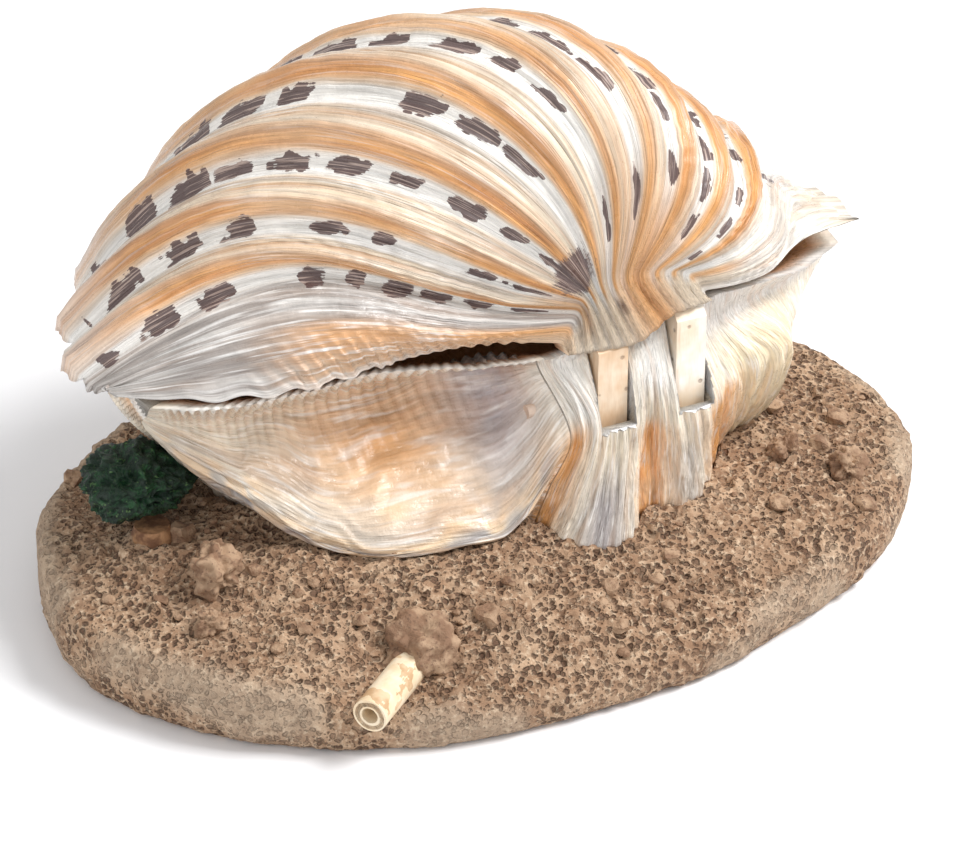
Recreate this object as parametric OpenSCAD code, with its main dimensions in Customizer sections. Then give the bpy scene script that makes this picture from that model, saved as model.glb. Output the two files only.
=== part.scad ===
// Bubbling clam ornament for an aquarium: a hinged ribbed clam on a sand base.
// Air fed in through the spigot collects under the upper valve and lifts it.
// Frame: X along the hinge pin, +Y to the hinge side, +Z up, underside on Z = 0.

/* [Sand base] */
// half length of the base along X
base_half_x = 65.5; // [63:0.5:68]
// half width of the base along Y
base_half_y = 44.5; // [43.5:0.5:48]
// squareness of the outline, 2 is an ellipse
base_power = 2.1; // [2:0.1:3]
// height of the sand under the shell
mound_z = 16.5; // [15.5:0.25:18]
// height of the edge at the two ends
edge_z_ends = 10.5; // [9:0.5:12]
// height of the edge on the hinge side
edge_z_back = 5.5; // [5:0.5:8]

/* [Ribs] */
// bearing swept by the margin, from the slit round to the right gap
rib_sweep = 190; // [186:1:194]
// how much wider the far ribs are spaced than the near ones
rib_spread = 1.42; // [1.38:0.02:1.48]
// rise of the shell above the margin
crown = 44; // [41:0.5:47]
// rise of the shell close behind the beak
beak_rise = 47; // [43:1:49]
// how much lower the shell runs towards the right wing
crown_lean = 0.5; // [0.4:0.05:0.6]
// sideways sweep of the ribs as they leave the beak
rib_swing = 16; // [12:1:17]
// lift of the margin at the right wing
wing_lift = 3.6; // [2:0.2:4]

/* [Shell] */
// thickness ratio of the upper valve wall, inner over outer
lid_inner_ratio = 0.92; // [0.9:0.01:0.94]
// depth of the valleys between the ribs at the margin
rib_depth = 2.6; // [1.5:0.1:3.2]
// depth of the hollow beside the beak on the upper valve
lid_hollow = 4; // [2:0.5:5]
// gap between the two valves along the front margin
margin_gap = 0.5; // [0.4:0.1:1]

/* [Hinge] */
// diameter of the hinge pin
pin_d = 2; // [1.6:0.1:2.2]
// radial running clearance of the pin in the arms
pin_clear = 0.06; // [0.03:0.01:0.1]
// thickness of each hinge arm along X
arm_t = 4.6; // [4:0.1:4.8]
// side clearance of each arm in its slot
slot_side = 0.5; // [0.35:0.05:0.8]

/* [Air line] */
// outside diameter of the air spigot, for 4 mm bore air hose
spigot_d = 5; // [4.6:0.1:5.4]
// bore of the air line
bore_d = 2.4; // [2:0.1:2.8]
// free length of the spigot
spigot_len = 14; // [12:1:15]
// outside diameter of the buried air line
line_d = 4.4; // [4:0.1:4.6]
// radial room in the sand for the hose around the spigot
hose_room = 1.2; // [1:0.1:1.6]

/* [Hidden] */
$fn = 48;
pin_y = 14;
pin_z = 30;
arm_back = pin_y + 5;
arm_left_x = -12;
arm_right_x = -24.2;
slot_r = 6.2;
lip_drop = 1.5;
line_z = 8;
line_turn = 39.6;
line_dir = [cos(line_turn), sin(line_turn), 0];
mouth = [35.8, 42.5, line_z];
riser_run = 70;
riser = mouth - riser_run * line_dir;
riser_top = 27;
elbow_d = 8;
socket_z = 11;
pin_x0 = -29.5;
pin_len = 26;
fit = 0.05;
heart = [0, -22, 38];
base_mid = [1.6, 1.6];
half_len = 59.4;
half_deep = 50;
seam_z = 40;

// ---------- curves ----------
function spline(a, b, c, d, f) =
  b + 0.5 * f * (c - a + f * (2 * a - 5 * b + 4 * c - d + f * (3 * (b - c) + d - a)));
function along(g, q) =
  let (n = len(g), i = max(0, min(n - 2, floor(q))), f = q - i,
    b = g[i], c = g[i + 1],
    a = i > 0 ? g[i - 1] : 2 * b - c,
    d = i + 2 < n ? g[i + 2] : 2 * c - b)
  [for (k = [0:len(b) - 1]) spline(a[k], b[k], c[k], d[k], f)];
function bezier(c, t) =
  pow(1 - t, 3) * c[0] + 3 * pow(1 - t, 2) * t * c[1]
  + 3 * (1 - t) * t * t * c[2] + t * t * t * c[3];
function unit(v) = v / max(0.000001, norm(v));

// ---------- upper valve ----------
// One guide curve per rib, from the beak over the crest to the margin, by rule:
// q is 0 on the edge of the slit, 1 to 9 on the ribs, 10 on the right wing and
// 11 on the edge of the right gap.
last = 11;

function beak_point(q) = let (u = q / last)
  [-8 - 19.5 * u * u + 2.5 * max(0, 1 - q), 17 - 2 * abs(u - 0.5),
   41.3 + 2.9 * u + 7 * pow(sin(180 * u), 0.4)];
function wing(q) = wing_lift * exp(-pow(max(0, last - 0.3 - q) / 0.4, 2));
function margin_point(q) =
  let (a = rib_sweep * pow(q / last, rib_spread) - 1,
    r = (q == 0 || q == last ? 0.95 : 1) - 0.04 * exp(-pow((q - last + 1.2) / 0.6, 2)))
  [-1.6 + r * half_len * cos(a), -r * half_deep * sin(a), seam_z + wing(q)];
function guide(q) =
  let (u = q / last, a = beak_point(q), b = margin_point(q), over = sin(180 * u),
    run = [b[0] - a[0], b[1] - a[1], 0],
    side = unit([run[1], -run[0], 0]),
    near = 0.47 - 0.56 * pow(sin(180 * pow(u, 1.3)), 1.5),
    far = 0.55 - 0.37 * pow(over, 1.5),
    swing = 6 + 3 * min(1, q) - rib_swing * sin(360 * u))
  [a, a + near * run + [0, 0, 1 + beak_rise * pow(over, 3)] + swing * side,
   b - far * run + [0, 0, crown * sqrt(over) * (1.19 - crown_lean * u)]
   + (q == 0 ? -12 : 2 - 8 * u) * side, b];
lid_guides = [for (q = [0:last]) guide(q)];

// the beak ends in a short apron that carries the two hinge arms
function apron_z(x) = let (f = max(0, min(1, (-14.8 - x) / 7))) 40.4 + 3.2 * f * f * (3 - 2 * f);
function apron(q) = let (x = -5.5 - 22.5 * q / last) [x, 18 + 1.2 * sin(180 * q / last), apron_z(x)];
function lid_smooth(q, t) = t >= 0 ? bezier(along(lid_guides, q), t)
  : let (a = apron(q), b = lid_guides_start(q), f = -t) a + (1 - f) * (b - a)
    + [0, 3.2 * f * (1 - f) * sin(180 * q / last), 0];
function lid_guides_start(q) = along(lid_guides, q)[0];
function lid_normal(q, t) =
  let (e = 0.02, qa = max(0, q - e), qb = min(last, q + e),
    ta = max(0.02, t - e), tb = min(1, t + e))
  unit(cross(lid_smooth(q, tb) - lid_smooth(q, ta), lid_smooth(qb, t) - lid_smooth(qa, t)));
// depth of the surface below the guide curves: hollow, ribs, right wing
function lid_sink(q, t) =
  q < 1 ? lid_hollow * pow(sin(180 * q), 1.3) * sin(180 * pow(t, 0.8))
  : q > last - 1 ? 1.5 * sin(180 * (q - last + 1)) * sin(180 * t)
  : rib_depth * (0.3 + 0.7 * t) * pow(0.5 - 0.5 * cos(360 * q), 0.8) * min(1, 8 * t);
function lid_at(q, t) = t <= 0 ? lid_smooth(q, t)
  : lid_smooth(q, t) - lid_sink(q, t) * lid_normal(q, t);
function margin_z(q) = seam_z + wing(q) + 0.8 * sin(180 * min(1, q)) * sin(360 * q);
function lid_out(q, t) = let (p = lid_at(q, t)) t < 1 ? p : [p[0], p[1], margin_z(q)];
function lid_in(q, t) = let (p = heart + lid_inner_ratio * (lid_at(q, t) - heart))
  t < 1 ? p : [p[0], p[1], margin_z(q)];

lid_qs = [for (i = [0:6 * last]) i / 6];
lid_ts = [-1, -0.5, 0, 0.03, 0.07, 0.13, 0.2, 0.28, 0.36, 0.44, 0.52, 0.6, 0.68, 0.76, 0.84, 0.92, 1];

// joins two matching open grids of n by m points into one closed wall
module walled(outer, inner, n, m) {
  w = n * m;
  function o(i, j) = i * m + j;
  faces = concat(
    [for (i = [0:n - 2], j = [0:m - 2]) each
      [[o(i, j), o(i + 1, j + 1), o(i + 1, j)], [o(i, j), o(i, j + 1), o(i + 1, j + 1)],
       [w + o(i, j), w + o(i + 1, j), w + o(i + 1, j + 1)],
       [w + o(i, j), w + o(i + 1, j + 1), w + o(i, j + 1)]]],
    [for (i = [0:n - 2]) each
      [[o(i, 0), w + o(i + 1, 0), w + o(i, 0)], [o(i, 0), o(i + 1, 0), w + o(i + 1, 0)],
       [o(i, m - 1), w + o(i, m - 1), w + o(i + 1, m - 1)],
       [o(i, m - 1), w + o(i + 1, m - 1), o(i + 1, m - 1)]]],
    [for (j = [0:m - 2]) each
      [[o(0, j), w + o(0, j), w + o(0, j + 1)], [o(0, j), w + o(0, j + 1), o(0, j + 1)],
       [o(n - 1, j), w + o(n - 1, j + 1), w + o(n - 1, j)],
       [o(n - 1, j), o(n - 1, j + 1), w + o(n - 1, j + 1)]]]);
  polyhedron(points = concat(outer, inner), faces = faces, convexity = 10);
}

module upper_valve() {
  color([0.93, 0.88, 0.8])
    difference() {
      walled([for (q = lid_qs, t = lid_ts) lid_out(q, t)],
        [for (q = lid_qs, t = lid_ts) lid_in(q, t)], len(lid_qs), len(lid_ts));
      for (x = [arm_left_x, arm_right_x]) arm_plate(x, 0.02);
    }
}

// ---------- sand ----------
function sand_r(p) = pow(pow(abs(p[0] - base_mid[0]) / base_half_x, base_power)
  + pow(abs(p[1] - base_mid[1]) / base_half_y, base_power), 1 / base_power);
function edge_z(p) = edge_z_ends - (edge_z_ends - edge_z_back)
  * pow(max(0, p[1]) / max(1, norm([p[0], p[1]])), 2);
// shallow trough that leaves the spigot bare
function trough(p) = let (d = [p[0] - mouth[0], p[1] - mouth[1]],
    u = -d[0] * line_dir[0] - d[1] * line_dir[1], v = d[0] * line_dir[1] - d[1] * line_dir[0])
  2.6 * exp(-pow(v / 7, 2)) * max(0, min(1, (spigot_len + 6 - u) / 7));
function sand_z(p) = let (r = min(1, sand_r(p)))
  edge_z(p) + (mound_z - edge_z(p)) * (1 - pow(r, 2.2)) - trough(p);

// ---------- lower valve ----------
// Sections of the hinge side from the left tip to the right tip. Each runs down:
// rim, hollow, ridge or frill, waist, and the foot where it meets the sand.
hinge_side = [
  [[51, 4, 39], [51, 2.5, 37], [51, 1, 34], [44, -4, 23], [38, -8]],
  [[46, 7, 39], [46, 3, 35], [47, 3, 30], [40, -1, 20], [36, -3]],
  [[38, 9, 39], [39, 3, 33], [40, 7, 25], [36, 4, 18], [33, 3]],
  [[29, 8.5, 38.5], [31, 1.5, 31], [33, 11, 19], [32, 10, 16.5], [31, 8]],
  [[20, 8, 38.5], [22, 1, 30], [24, 17, 17], [24, 17, 15.5], [23, 16]],
  [[11, 10, 38], [12, 1, 30], [12, 19.5, 17], [12, 19.5, 15.5], [12, 18]],
  [[3, 13, 38], [3, 4, 32], [4, 20, 18], [3, 19, 16.5], [3, 17]],
  [[-3, 15, 38.5], [-3, 12, 36], [-4.5, 20, 28], [-1, 20, 20], [0.5, 19]],
  [[-6.5, 15.5, 39], [-6, 16, 37], [-8, 21.5, 30], [-4.5, 23, 20], [-2, 23]],
  [[-11, 16, 39.5], [-11, 18.5, 36.5], [-11, 21.5, 29], [-9, 24, 20], [-6.5, 26.5]],
  [[-14.5, 16, 39.5], [-14.5, 18.5, 36.5], [-14.5, 21.5, 29], [-13, 23.5, 20], [-11.5, 26]],
  [[-17.5, 16, 39.5], [-17.5, 18.5, 36.5], [-17.5, 20, 29], [-17, 20.5, 20], [-16.5, 22]],
  [[-21, 16, 41], [-21, 18.5, 36], [-21.5, 21.5, 28], [-22.5, 22, 20], [-22, 22.5]],
  [[-25, 16, 42.5], [-25.5, 17.5, 36], [-26.5, 21.5, 28], [-28, 19, 20], [-28.5, 18]],
  [[-29, 15.5, 42.5], [-30, 15, 37], [-33, 18, 31], [-35, 14, 21], [-35, 10]],
  [[-34, 15, 42.5], [-35, 13, 37], [-40, 18, 33], [-41, 13, 22], [-40, 8]],
  [[-40, 14, 42], [-40, 10, 37], [-43, 13, 32], [-45, 9, 22], [-45, 4]],
  [[-47, 10.5, 40], [-46, 7, 36], [-47, 8, 31], [-46.5, 3, 22], [-45.5, -1]],
  [[-56, 4, 38.5], [-55, 2, 36], [-53, 1, 32], [-47, -4, 23], [-43.5, -9]]];
foot_ratio = 0.7;
inset = 0.955;

function foot(p) = [p[0], p[1], sand_z(p)];
function front_section(q) =
  let (m = lid_at(q, 1),
    a = [heart[0] + inset * (m[0] - heart[0]), heart[1] + inset * (m[1] - heart[1]),
      margin_z(q) - margin_gap],
    b = foot([foot_ratio * a[0], foot_ratio * (a[1] + 8) - 8 - 9 * pow(a[0] / half_len, 2)]),
    h = [a, [0.95 * a[0], 0.97 * a[1], a[2] - 7], [1.12 * b[0], 1.08 * b[1], b[2] + 6], b])
  [for (t = [0:4]) bezier(h, t / 4)];
back_sections = [for (s = hinge_side) [s[0], s[1], s[2], s[3], foot(s[4])]];
front_step = 6;
front_qs = [for (i = [0:front_step * (last - 1) + 2]) i / front_step];
back_n = len(hinge_side) * 2 - 2;
back_cols = [for (i = [0:back_n]) along(back_sections, i / 2)];
front_cols = [for (i = [len(front_qs) - 1:-1:0]) front_section(front_qs[i])];
bowl_cols = concat(back_cols, front_cols);
rows = 10;
function bowl_at(c, v) = along(c, v);
function bowl_in(p, f, z) = [heart[0] + f * (p[0] - heart[0]), heart[1] + f * (p[1] - heart[1]), z];

module lower_valve_blank() {
  n = len(bowl_cols);
  outer = [for (c = bowl_cols) [for (v = [0:rows]) bowl_at(c, v * 4 / rows)]];
  inner = [for (c = bowl_cols) [bowl_in(c[0], 0.92, c[0][2]), bowl_in(c[1], 0.9, c[1][2]),
    bowl_in(c[0], 0.72, 27), bowl_in(c[0], 0.45, 20)]];
  plug = [for (c = bowl_cols) [c[4][0], c[4][1], socket_z]];
  m = rows + 1 + 1 + 4;
  pts = concat([for (i = [0:n - 1]) each concat([plug[i]],
    [for (v = [rows:-1:0]) outer[i][v]], inner[i])],
    [[0, -8, socket_z], [heart[0], heart[1], 18.5]]);
  function o(i, j) = (i % n) * m + j;
  polyhedron(points = pts, convexity = 10, faces = concat(
    [for (i = [0:n - 1], j = [0:m - 2]) each
      [[o(i, j), o(i, j + 1), o(i + 1, j + 1)], [o(i, j), o(i + 1, j + 1), o(i + 1, j)]]],
    [for (i = [0:n - 1]) each
      [[n * m, o(i, 0), o(i + 1, 0)], [n * m + 1, o(i + 1, m - 1), o(i, m - 1)]]]));
}

module arm_plate(x, gap) {
  y0 = pin_y - 3 - gap;
  y1 = arm_back + gap;
  neck = min(42, apron_z(x) - 0.4);
  translate([x - arm_t / 2 - gap, 0, 0])
    rotate([90, 0, 90])
      linear_extrude(height = arm_t + 2 * gap)
        polygon([[y0, 27.5], [y0 + 1.5, 26], [y1 - 1.5, 26], [y1, 27.5], [y1, neck],
          [y1 - 2, neck + 1.8], [y1 - 2, 44], [y1 - 3.5, 45.5 + gap], [y0, 45.5 + gap]]);
}

module hinge_arm(x) {
  color([0.87, 0.74, 0.58])
    difference() {
      arm_plate(x, 0);
      along_x(x - 5, 10) cylinder(h = 10, d = pin_d + 2 * pin_clear);
    }
}
module hinge_arm_left() { hinge_arm(arm_left_x); }
module hinge_arm_right() { hinge_arm(arm_right_x); }

// places children on the hinge line, starting at x
module along_x(x, len) {
  translate([x, pin_y, pin_z]) rotate([0, 90, 0]) children();
}

module arm_slot(x) {
  w = arm_t + 2 * slot_side;
  along_x(x - w / 2, w) cylinder(h = w, r = slot_r);
  translate([x - w / 2, pin_y, pin_z - lip_drop]) cube([w, 30, 40]);
  translate([x - w / 2, pin_y - slot_r, pin_z]) cube([w, 2 * slot_r, 30]);
}

module lower_valve() {
  color([0.9, 0.83, 0.74])
    difference() {
      lower_valve_blank();
      for (x = [arm_left_x, arm_right_x]) arm_slot(x);
      along_x(pin_x0, 0) cylinder(h = 40, d = pin_d);
      translate([riser[0], riser[1], 0]) cylinder(h = 60, d = line_d + 2 * fit);
    }
}

module hinge_pin() {
  color([0.75, 0.75, 0.74])
    along_x(pin_x0 + fit, 0) cylinder(h = pin_len, d = pin_d);
}

module pin_plug() {
  color([0.92, 0.9, 0.85])
    along_x(pin_x0 + pin_len + 2 * fit, 0) cylinder(h = 2.4, d = pin_d);
}

// ---------- sand base ----------
function rim_point(a) = let (r = 1 / pow(pow(abs(cos(a)) / base_half_x, base_power)
    + pow(abs(sin(a)) / base_half_y, base_power), 1 / base_power),
    w = 1 - 0.02 * cos(3 * a) - 0.01 * sin(2 * a) + 0.004 * sin(7 * a) + 0.003 * sin(13 * a))
  base_mid + r * w * [cos(a), sin(a)];
function on_sand(x, y) = [x, y, sand_z([x, y])];
// profile of the edge: share of the outline, share of the edge height
edge_profile = [[0.985, 0.93], [1, 0.72], [1.002, 0.42], [0.992, 0.14], [0.97, 0]];

function base_col(c) = let (f = c[4], r = norm([f[0], f[1]]), k = (r + fit) / r,
    p = [k * f[0], k * f[1]], o = rim_point(atan2(f[1] - base_mid[1], f[0] - base_mid[0])),
    e = sand_z(0.96 * o))
  concat([[p[0], p[1], socket_z - fit]],
    [for (s = [0, 0.15, 0.3, 0.45, 0.6, 0.75, 0.88])
      let (q = p + s * (o - p)) [q[0], q[1], sand_z(q) - 0.03]],
    [[0.955 * o[0], 0.955 * o[1], e]],
    [for (h = edge_profile) [h[0] * o[0], h[0] * o[1], h[1] * e]]);

module sand_blank() {
  cols = [for (c = bowl_cols) base_col(c)];
  n = len(cols);
  m = len(cols[0]);
  function o(i, j) = (i % n) * m + j;
  polyhedron(points = concat([for (c = cols) each c], [[0, -8, socket_z - fit], [0, 0, 0]]),
    convexity = 8, faces = concat(
    [for (i = [0:n - 1], j = [0:m - 2]) each
      [[o(i, j), o(i + 1, j + 1), o(i, j + 1)], [o(i, j), o(i + 1, j), o(i + 1, j + 1)]]],
    [for (i = [0:n - 1]) each
      [[n * m, o(i + 1, 0), o(i, 0)], [n * m + 1, o(i, m - 1), o(i + 1, m - 1)]]]));
}

module on_line(from, len, d) {
  translate(mouth - from * line_dir) rotate([0, 0, line_turn]) rotate([0, -90, 0])
    cylinder(h = len, d = d);
}

module sand_base() {
  color([0.55, 0.45, 0.36])
    difference() {
      sand_blank();
      on_line(0, riser_run, line_d + 2 * fit);
      on_line(-9, spigot_len + 9, spigot_d + 2 * hose_room);
      translate([riser[0], riser[1], line_z - 4]) cylinder(h = 20, d = elbow_d + 2 * fit);
      collar_shape(2 * fit);
      for (s = stones) stone_foot(s, fit);
      peg_shape(fit);
    }
}

// ---------- air line ----------
module air_spigot() {
  color([0.9, 0.82, 0.68])
    difference() {
      union() {
        on_line(0, spigot_len, spigot_d);
        on_line(1, riser_run - elbow_d / 2 - 0.5, line_d);
      }
      on_line(-1, riser_run + 2, bore_d);
    }
}

module collar_shape(gap) {
  on_line(spigot_len - 0.5 * gap, 3 + gap, 9 + gap);
}

module spigot_collar() {
  color([0.66, 0.53, 0.4])
    difference() {
      collar_shape(0);
      on_line(0, riser_run, line_d + 2 * fit);
    }
}

module elbow_block() {
  color([0.85, 0.83, 0.78])
    difference() {
      translate([riser[0], riser[1], line_z - 4]) cylinder(h = 6.9, d = elbow_d);
      on_line(riser_run - elbow_d, elbow_d - 3.45, line_d + 2 * fit);
      on_line(riser_run - 4, 4, bore_d);
      translate([riser[0], riser[1], line_z]) cylinder(h = 8, d = bore_d);
      translate([riser[0], riser[1], line_z + 1.8]) cylinder(h = 8, d = line_d + 2 * fit);
    }
}

module riser_tube() {
  color([0.9, 0.82, 0.68])
    translate([riser[0], riser[1], line_z + 1.85])
      difference() {
        cylinder(h = riser_top - line_z - 1.85, d = line_d);
        translate([0, 0, -1]) cylinder(h = 40, d = bore_d);
      }
}

module outlet_nozzle() {
  color([0.85, 0.83, 0.78])
    translate([riser[0], riser[1], riser_top - 2])
      difference() {
        cylinder(h = 7, d = line_d + 2.6);
        translate([0, 0, -1]) cylinder(h = 3.05, d = line_d + 2 * fit);
        cylinder(h = 5.5, d = bore_d);
        for (a = [0:90:270])
          rotate([0, 0, a + 45]) translate([0, 0, 4.2]) rotate([0, 90, 0]) cylinder(h = 5, d = 1.2);
      }
}

// ---------- plant and stones ----------
// x, y, width, height, seed
stones = [[45.5, 11.5, 7, 4, 3], [49.5, 20, 4, 2.6, 8], [-48.8, 22, 4.5, 3, 5], [-41.5, 16.5, 4, 2.6, 7]];
peg_spot = [49.5, -2, 6, 3.5, 2];

function lump(a, b, k) = 1 + 0.1 * sin(3 * a + 70 * k) * cos(b) + 0.12 * sin(2 * a - 50 * k)
  * sin(2 * b + 30 * k) + 0.05 * cos(5 * a + 110 * k);
module lumpy(w, h, k, na, nb, low) {
  pts = concat([for (j = [1:nb - 1], i = [0:na - 1])
      let (a = 360 * i / na, b = low + (90 - low) * j / nb, r = lump(a, b, k))
      [w / 2 * r * cos(b) * cos(a), w / 2 * r * cos(b) * sin(a), h * r * sin(b)]],
    [for (i = [0:na - 1]) let (a = 360 * i / na)
      [0.4 * w * cos(a), 0.4 * w * sin(a), h * sin(low)]],
    [[0, 0, h * lump(0, 90, k)], [0, 0, h * sin(low)]]);
  t = na * nb;
  f = na * (nb - 1);
  polyhedron(points = pts, convexity = 4, faces = concat(
    [for (j = [0:nb - 3], i = [0:na - 1]) let (p = j * na + i, q = j * na + (i + 1) % na) each
      [[p, p + na, q + na], [p, q + na, q]]],
    [for (i = [0:na - 1]) let (q = (i + 1) % na, g = (nb - 2) * na) each
      [[g + i, t, g + q], [f + i, i, q], [f + i, q, f + q], [f + i, f + q, t + 1]]]));
}
module stone_foot(s, gap) {
  translate([s[0], s[1], sand_z(s) - 1.6 - gap])
    cylinder(h = 2.6 + gap, d = 0.5 * s[2] + 2 * gap);
}
module stone(s) {
  color([0.68, 0.55, 0.42])
    union() {
      translate([s[0], s[1], sand_z(s) + 0.9]) lumpy(s[2], s[3] - 0.9, s[4], 12, 5, 0);
      stone_foot(s, 0);
    }
}
module stone_a() { stone(stones[0]); }
module stone_b() { stone(stones[1]); }
module stone_c() { stone(stones[2]); }
module stone_d() { stone(stones[3]); }

module peg_shape(gap) {
  translate([peg_spot[0], peg_spot[1], sand_z(peg_spot)]) {
    translate([0, 0, -1.6 - gap]) cylinder(h = 1.7, d = 0.5 * peg_spot[2] + 2 * gap);
    translate([0, 0, -gap]) cylinder(h = 2.2 + gap, d1 = 6.5 + 2 * gap, d2 = 5 + 2 * gap);
  }
}

module plant_peg() {
  color([0.52, 0.36, 0.24])
    peg_shape(0);
}

module plant_tuft() {
  color([0.05, 0.2, 0.12])
    translate([51, -5.5, sand_z(peg_spot) + 2.3]) lumpy(15, 9, 4, 20, 8, 0);
}

sand_base();
lower_valve();
upper_valve();
hinge_arm_left();
hinge_arm_right();
hinge_pin();
pin_plug();
air_spigot();
spigot_collar();
elbow_block();
riser_tube();
outlet_nozzle();
plant_peg();
plant_tuft();
stone_a();
stone_b();
stone_c();
stone_d();
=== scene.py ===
"""Looks for the clam ornament: a ribbed clam on a porous sand base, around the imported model."""

import math

import bmesh
import bpy
import numpy as np
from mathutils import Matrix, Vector


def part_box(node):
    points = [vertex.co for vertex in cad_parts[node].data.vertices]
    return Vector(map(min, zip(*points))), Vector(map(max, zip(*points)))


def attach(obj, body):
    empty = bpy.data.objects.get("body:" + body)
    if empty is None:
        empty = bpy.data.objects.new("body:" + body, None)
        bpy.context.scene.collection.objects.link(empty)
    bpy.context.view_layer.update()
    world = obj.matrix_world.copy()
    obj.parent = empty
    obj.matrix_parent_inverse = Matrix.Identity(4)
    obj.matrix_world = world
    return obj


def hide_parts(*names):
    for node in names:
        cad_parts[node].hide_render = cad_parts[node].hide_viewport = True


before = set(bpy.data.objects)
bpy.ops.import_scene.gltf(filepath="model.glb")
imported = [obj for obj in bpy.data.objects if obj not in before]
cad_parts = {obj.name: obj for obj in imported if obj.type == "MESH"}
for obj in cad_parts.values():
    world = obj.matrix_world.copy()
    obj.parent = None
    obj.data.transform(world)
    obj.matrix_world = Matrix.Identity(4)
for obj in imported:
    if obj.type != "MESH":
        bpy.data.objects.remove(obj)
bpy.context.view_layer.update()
MM = 0.001
scene = bpy.context.scene

# ---------------------------------------------------------------- camera
CAM_AIM = Vector((5.5, 13.5, 30.0)) * MM
CAM_AZ, CAM_EL, CAM_FAR = math.radians(155), math.radians(33), 0.6
CAM_LENS = 160.4

camera = bpy.data.objects.new("camera", bpy.data.cameras.new("camera"))
scene.collection.objects.link(camera)
camera.data.lens = CAM_LENS
camera.data.sensor_width = 36.0
camera.data.clip_start = 0.01
away = Vector((math.sin(CAM_AZ) * math.cos(CAM_EL), -math.cos(CAM_AZ) * math.cos(CAM_EL), math.sin(CAM_EL)))
camera.location = CAM_AIM + CAM_FAR * away
camera.rotation_euler = (-away).to_track_quat("-Z", "Y").to_euler()
scene.camera = camera
scene.view_settings.view_transform = "Standard"


# ---------------------------------------------------------------- numbers and noise
def lattice(x, y, z, seed):
    """A fixed random number in 0..1 for each whole lattice point."""
    h = x * np.uint32(374761393) + y * np.uint32(668265263) + z * np.uint32(2246822519)
    h = h + np.uint32((seed * 974711 + 1) & 0xFFFFFFFF)
    h = (h ^ (h >> np.uint32(13))) * np.uint32(1274126177)
    h = (h ^ (h >> np.uint32(15))) * np.uint32(2654435761)
    return ((h ^ (h >> np.uint32(16))) & np.uint32(0xFFFFFF)).astype(float) / 16777216.0


def split(p, size):
    """Whole lattice corner and the place inside its cell."""
    g = np.asarray(p, float) / size
    low = np.floor(g)
    return low.astype(np.int64), g - low


def noise(p, size, seed=0):
    """Smooth noise in -1..1 at points (..., 3), with features about `size` wide."""
    low, f = split(p, size)
    f = f * f * f * (f * (f * 6 - 15) + 10)
    total = np.zeros(f.shape[:-1])
    for cx in (0, 1):
        for cy in (0, 1):
            for cz in (0, 1):
                at = (low + (cx, cy, cz)).astype(np.uint32)
                share = (f[..., 0] if cx else 1 - f[..., 0]) * (f[..., 1] if cy else 1 - f[..., 1])
                share = share * (f[..., 2] if cz else 1 - f[..., 2])
                total += share * lattice(at[..., 0], at[..., 1], at[..., 2], seed)
    return 2 * total - 1


def fbm(p, size, octaves=3, seed=0):
    """Several octaves of noise, each half the size and half the strength."""
    return sum(noise(p, size / 2**k, seed + 17 * k) / 2**k for k in range(octaves)) / 1.6


def cells(p, size, seed=0):
    """Distance to the nearest of scattered points, in cell sizes."""
    low, f = split(p, size)
    nearest = np.full(f.shape[:-1], 9.0)
    for cx in (-1, 0, 1):
        for cy in (-1, 0, 1):
            for cz in (-1, 0, 1):
                at = (low + (cx, cy, cz)).astype(np.uint32)
                args = (at[..., 0], at[..., 1], at[..., 2])
                off = np.stack([lattice(*args, seed + k) for k in (1, 2, 3)], -1)
                d = np.linalg.norm(off + (cx, cy, cz) - f, axis=-1)
                nearest = np.minimum(nearest, d)
    return nearest


def step(x, low, high):
    """Smooth step from 0 at low to 1 at high."""
    f = np.clip((x - low) / (high - low), 0, 1)
    return f * f * (3 - 2 * f)


def bump(x, mid, wide):
    """Soft hill of height 1 at mid."""
    return np.exp(-(((x - mid) / wide) ** 2))


def wave(turns):
    return np.cos(2 * np.pi * turns)


def ripple(turns):
    return np.sin(2 * np.pi * turns)


def surface(a, b):
    """Points for noise over two surface coordinates."""
    return np.stack([a, b, 0 * a], -1)


def spline(rows, q):
    """Catmull-Rom through rows (n, ...) at places q (k,), as in part.scad."""
    rows = np.asarray(rows, float)
    n = len(rows)
    i = np.clip(np.floor(q).astype(int), 0, n - 2)
    f = (q - i).reshape((-1,) + (1,) * (rows.ndim - 1))
    b, c = rows[i], rows[i + 1]
    flat = (i > 0).reshape(f.shape)
    a = np.where(flat, rows[np.maximum(i - 1, 0)], 2 * b - c)
    flat = (i + 2 < n).reshape(f.shape)
    d = np.where(flat, rows[np.minimum(i + 2, n - 1)], 2 * c - b)
    return b + 0.5 * f * (c - a + f * (2 * a - 5 * b + 4 * c - d + f * (3 * (b - c) + d - a)))


def bezier(ctrl, t):
    """Cubic curves (n, 4, 3) at t (m,), giving (n, m, 3)."""
    t = t[None, :, None]
    c = ctrl[:, :, None, :]
    start, end = (1 - t) ** 3 * c[:, 0] + 3 * (1 - t) ** 2 * t * c[:, 1], t**3 * c[:, 3]
    return start + 3 * (1 - t) * t * t * c[:, 2] + end


def normals_of(grid):
    """Unit normals of a surface grid (n, m, 3), by cross of its second and first directions."""
    n = np.cross(np.gradient(grid, axis=1), np.gradient(grid, axis=0))
    return n / np.maximum(np.linalg.norm(n, axis=-1, keepdims=True), 1e-9)


def srgb(*c):
    """Linear colour from 0..255 screen values."""
    c = np.asarray(c, float) / 255
    return np.where(c <= 0.04045, c / 12.92, ((c + 0.055) / 1.055) ** 2.4)


def rgb(*c):
    """The same as a plain tuple, for a shader's socket."""
    return tuple(srgb(*c))


def mixed(a, b, w):
    """Colour fields a and b by weight w."""
    return a + (b - a) * np.clip(w, 0, 1)[..., None]


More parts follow.
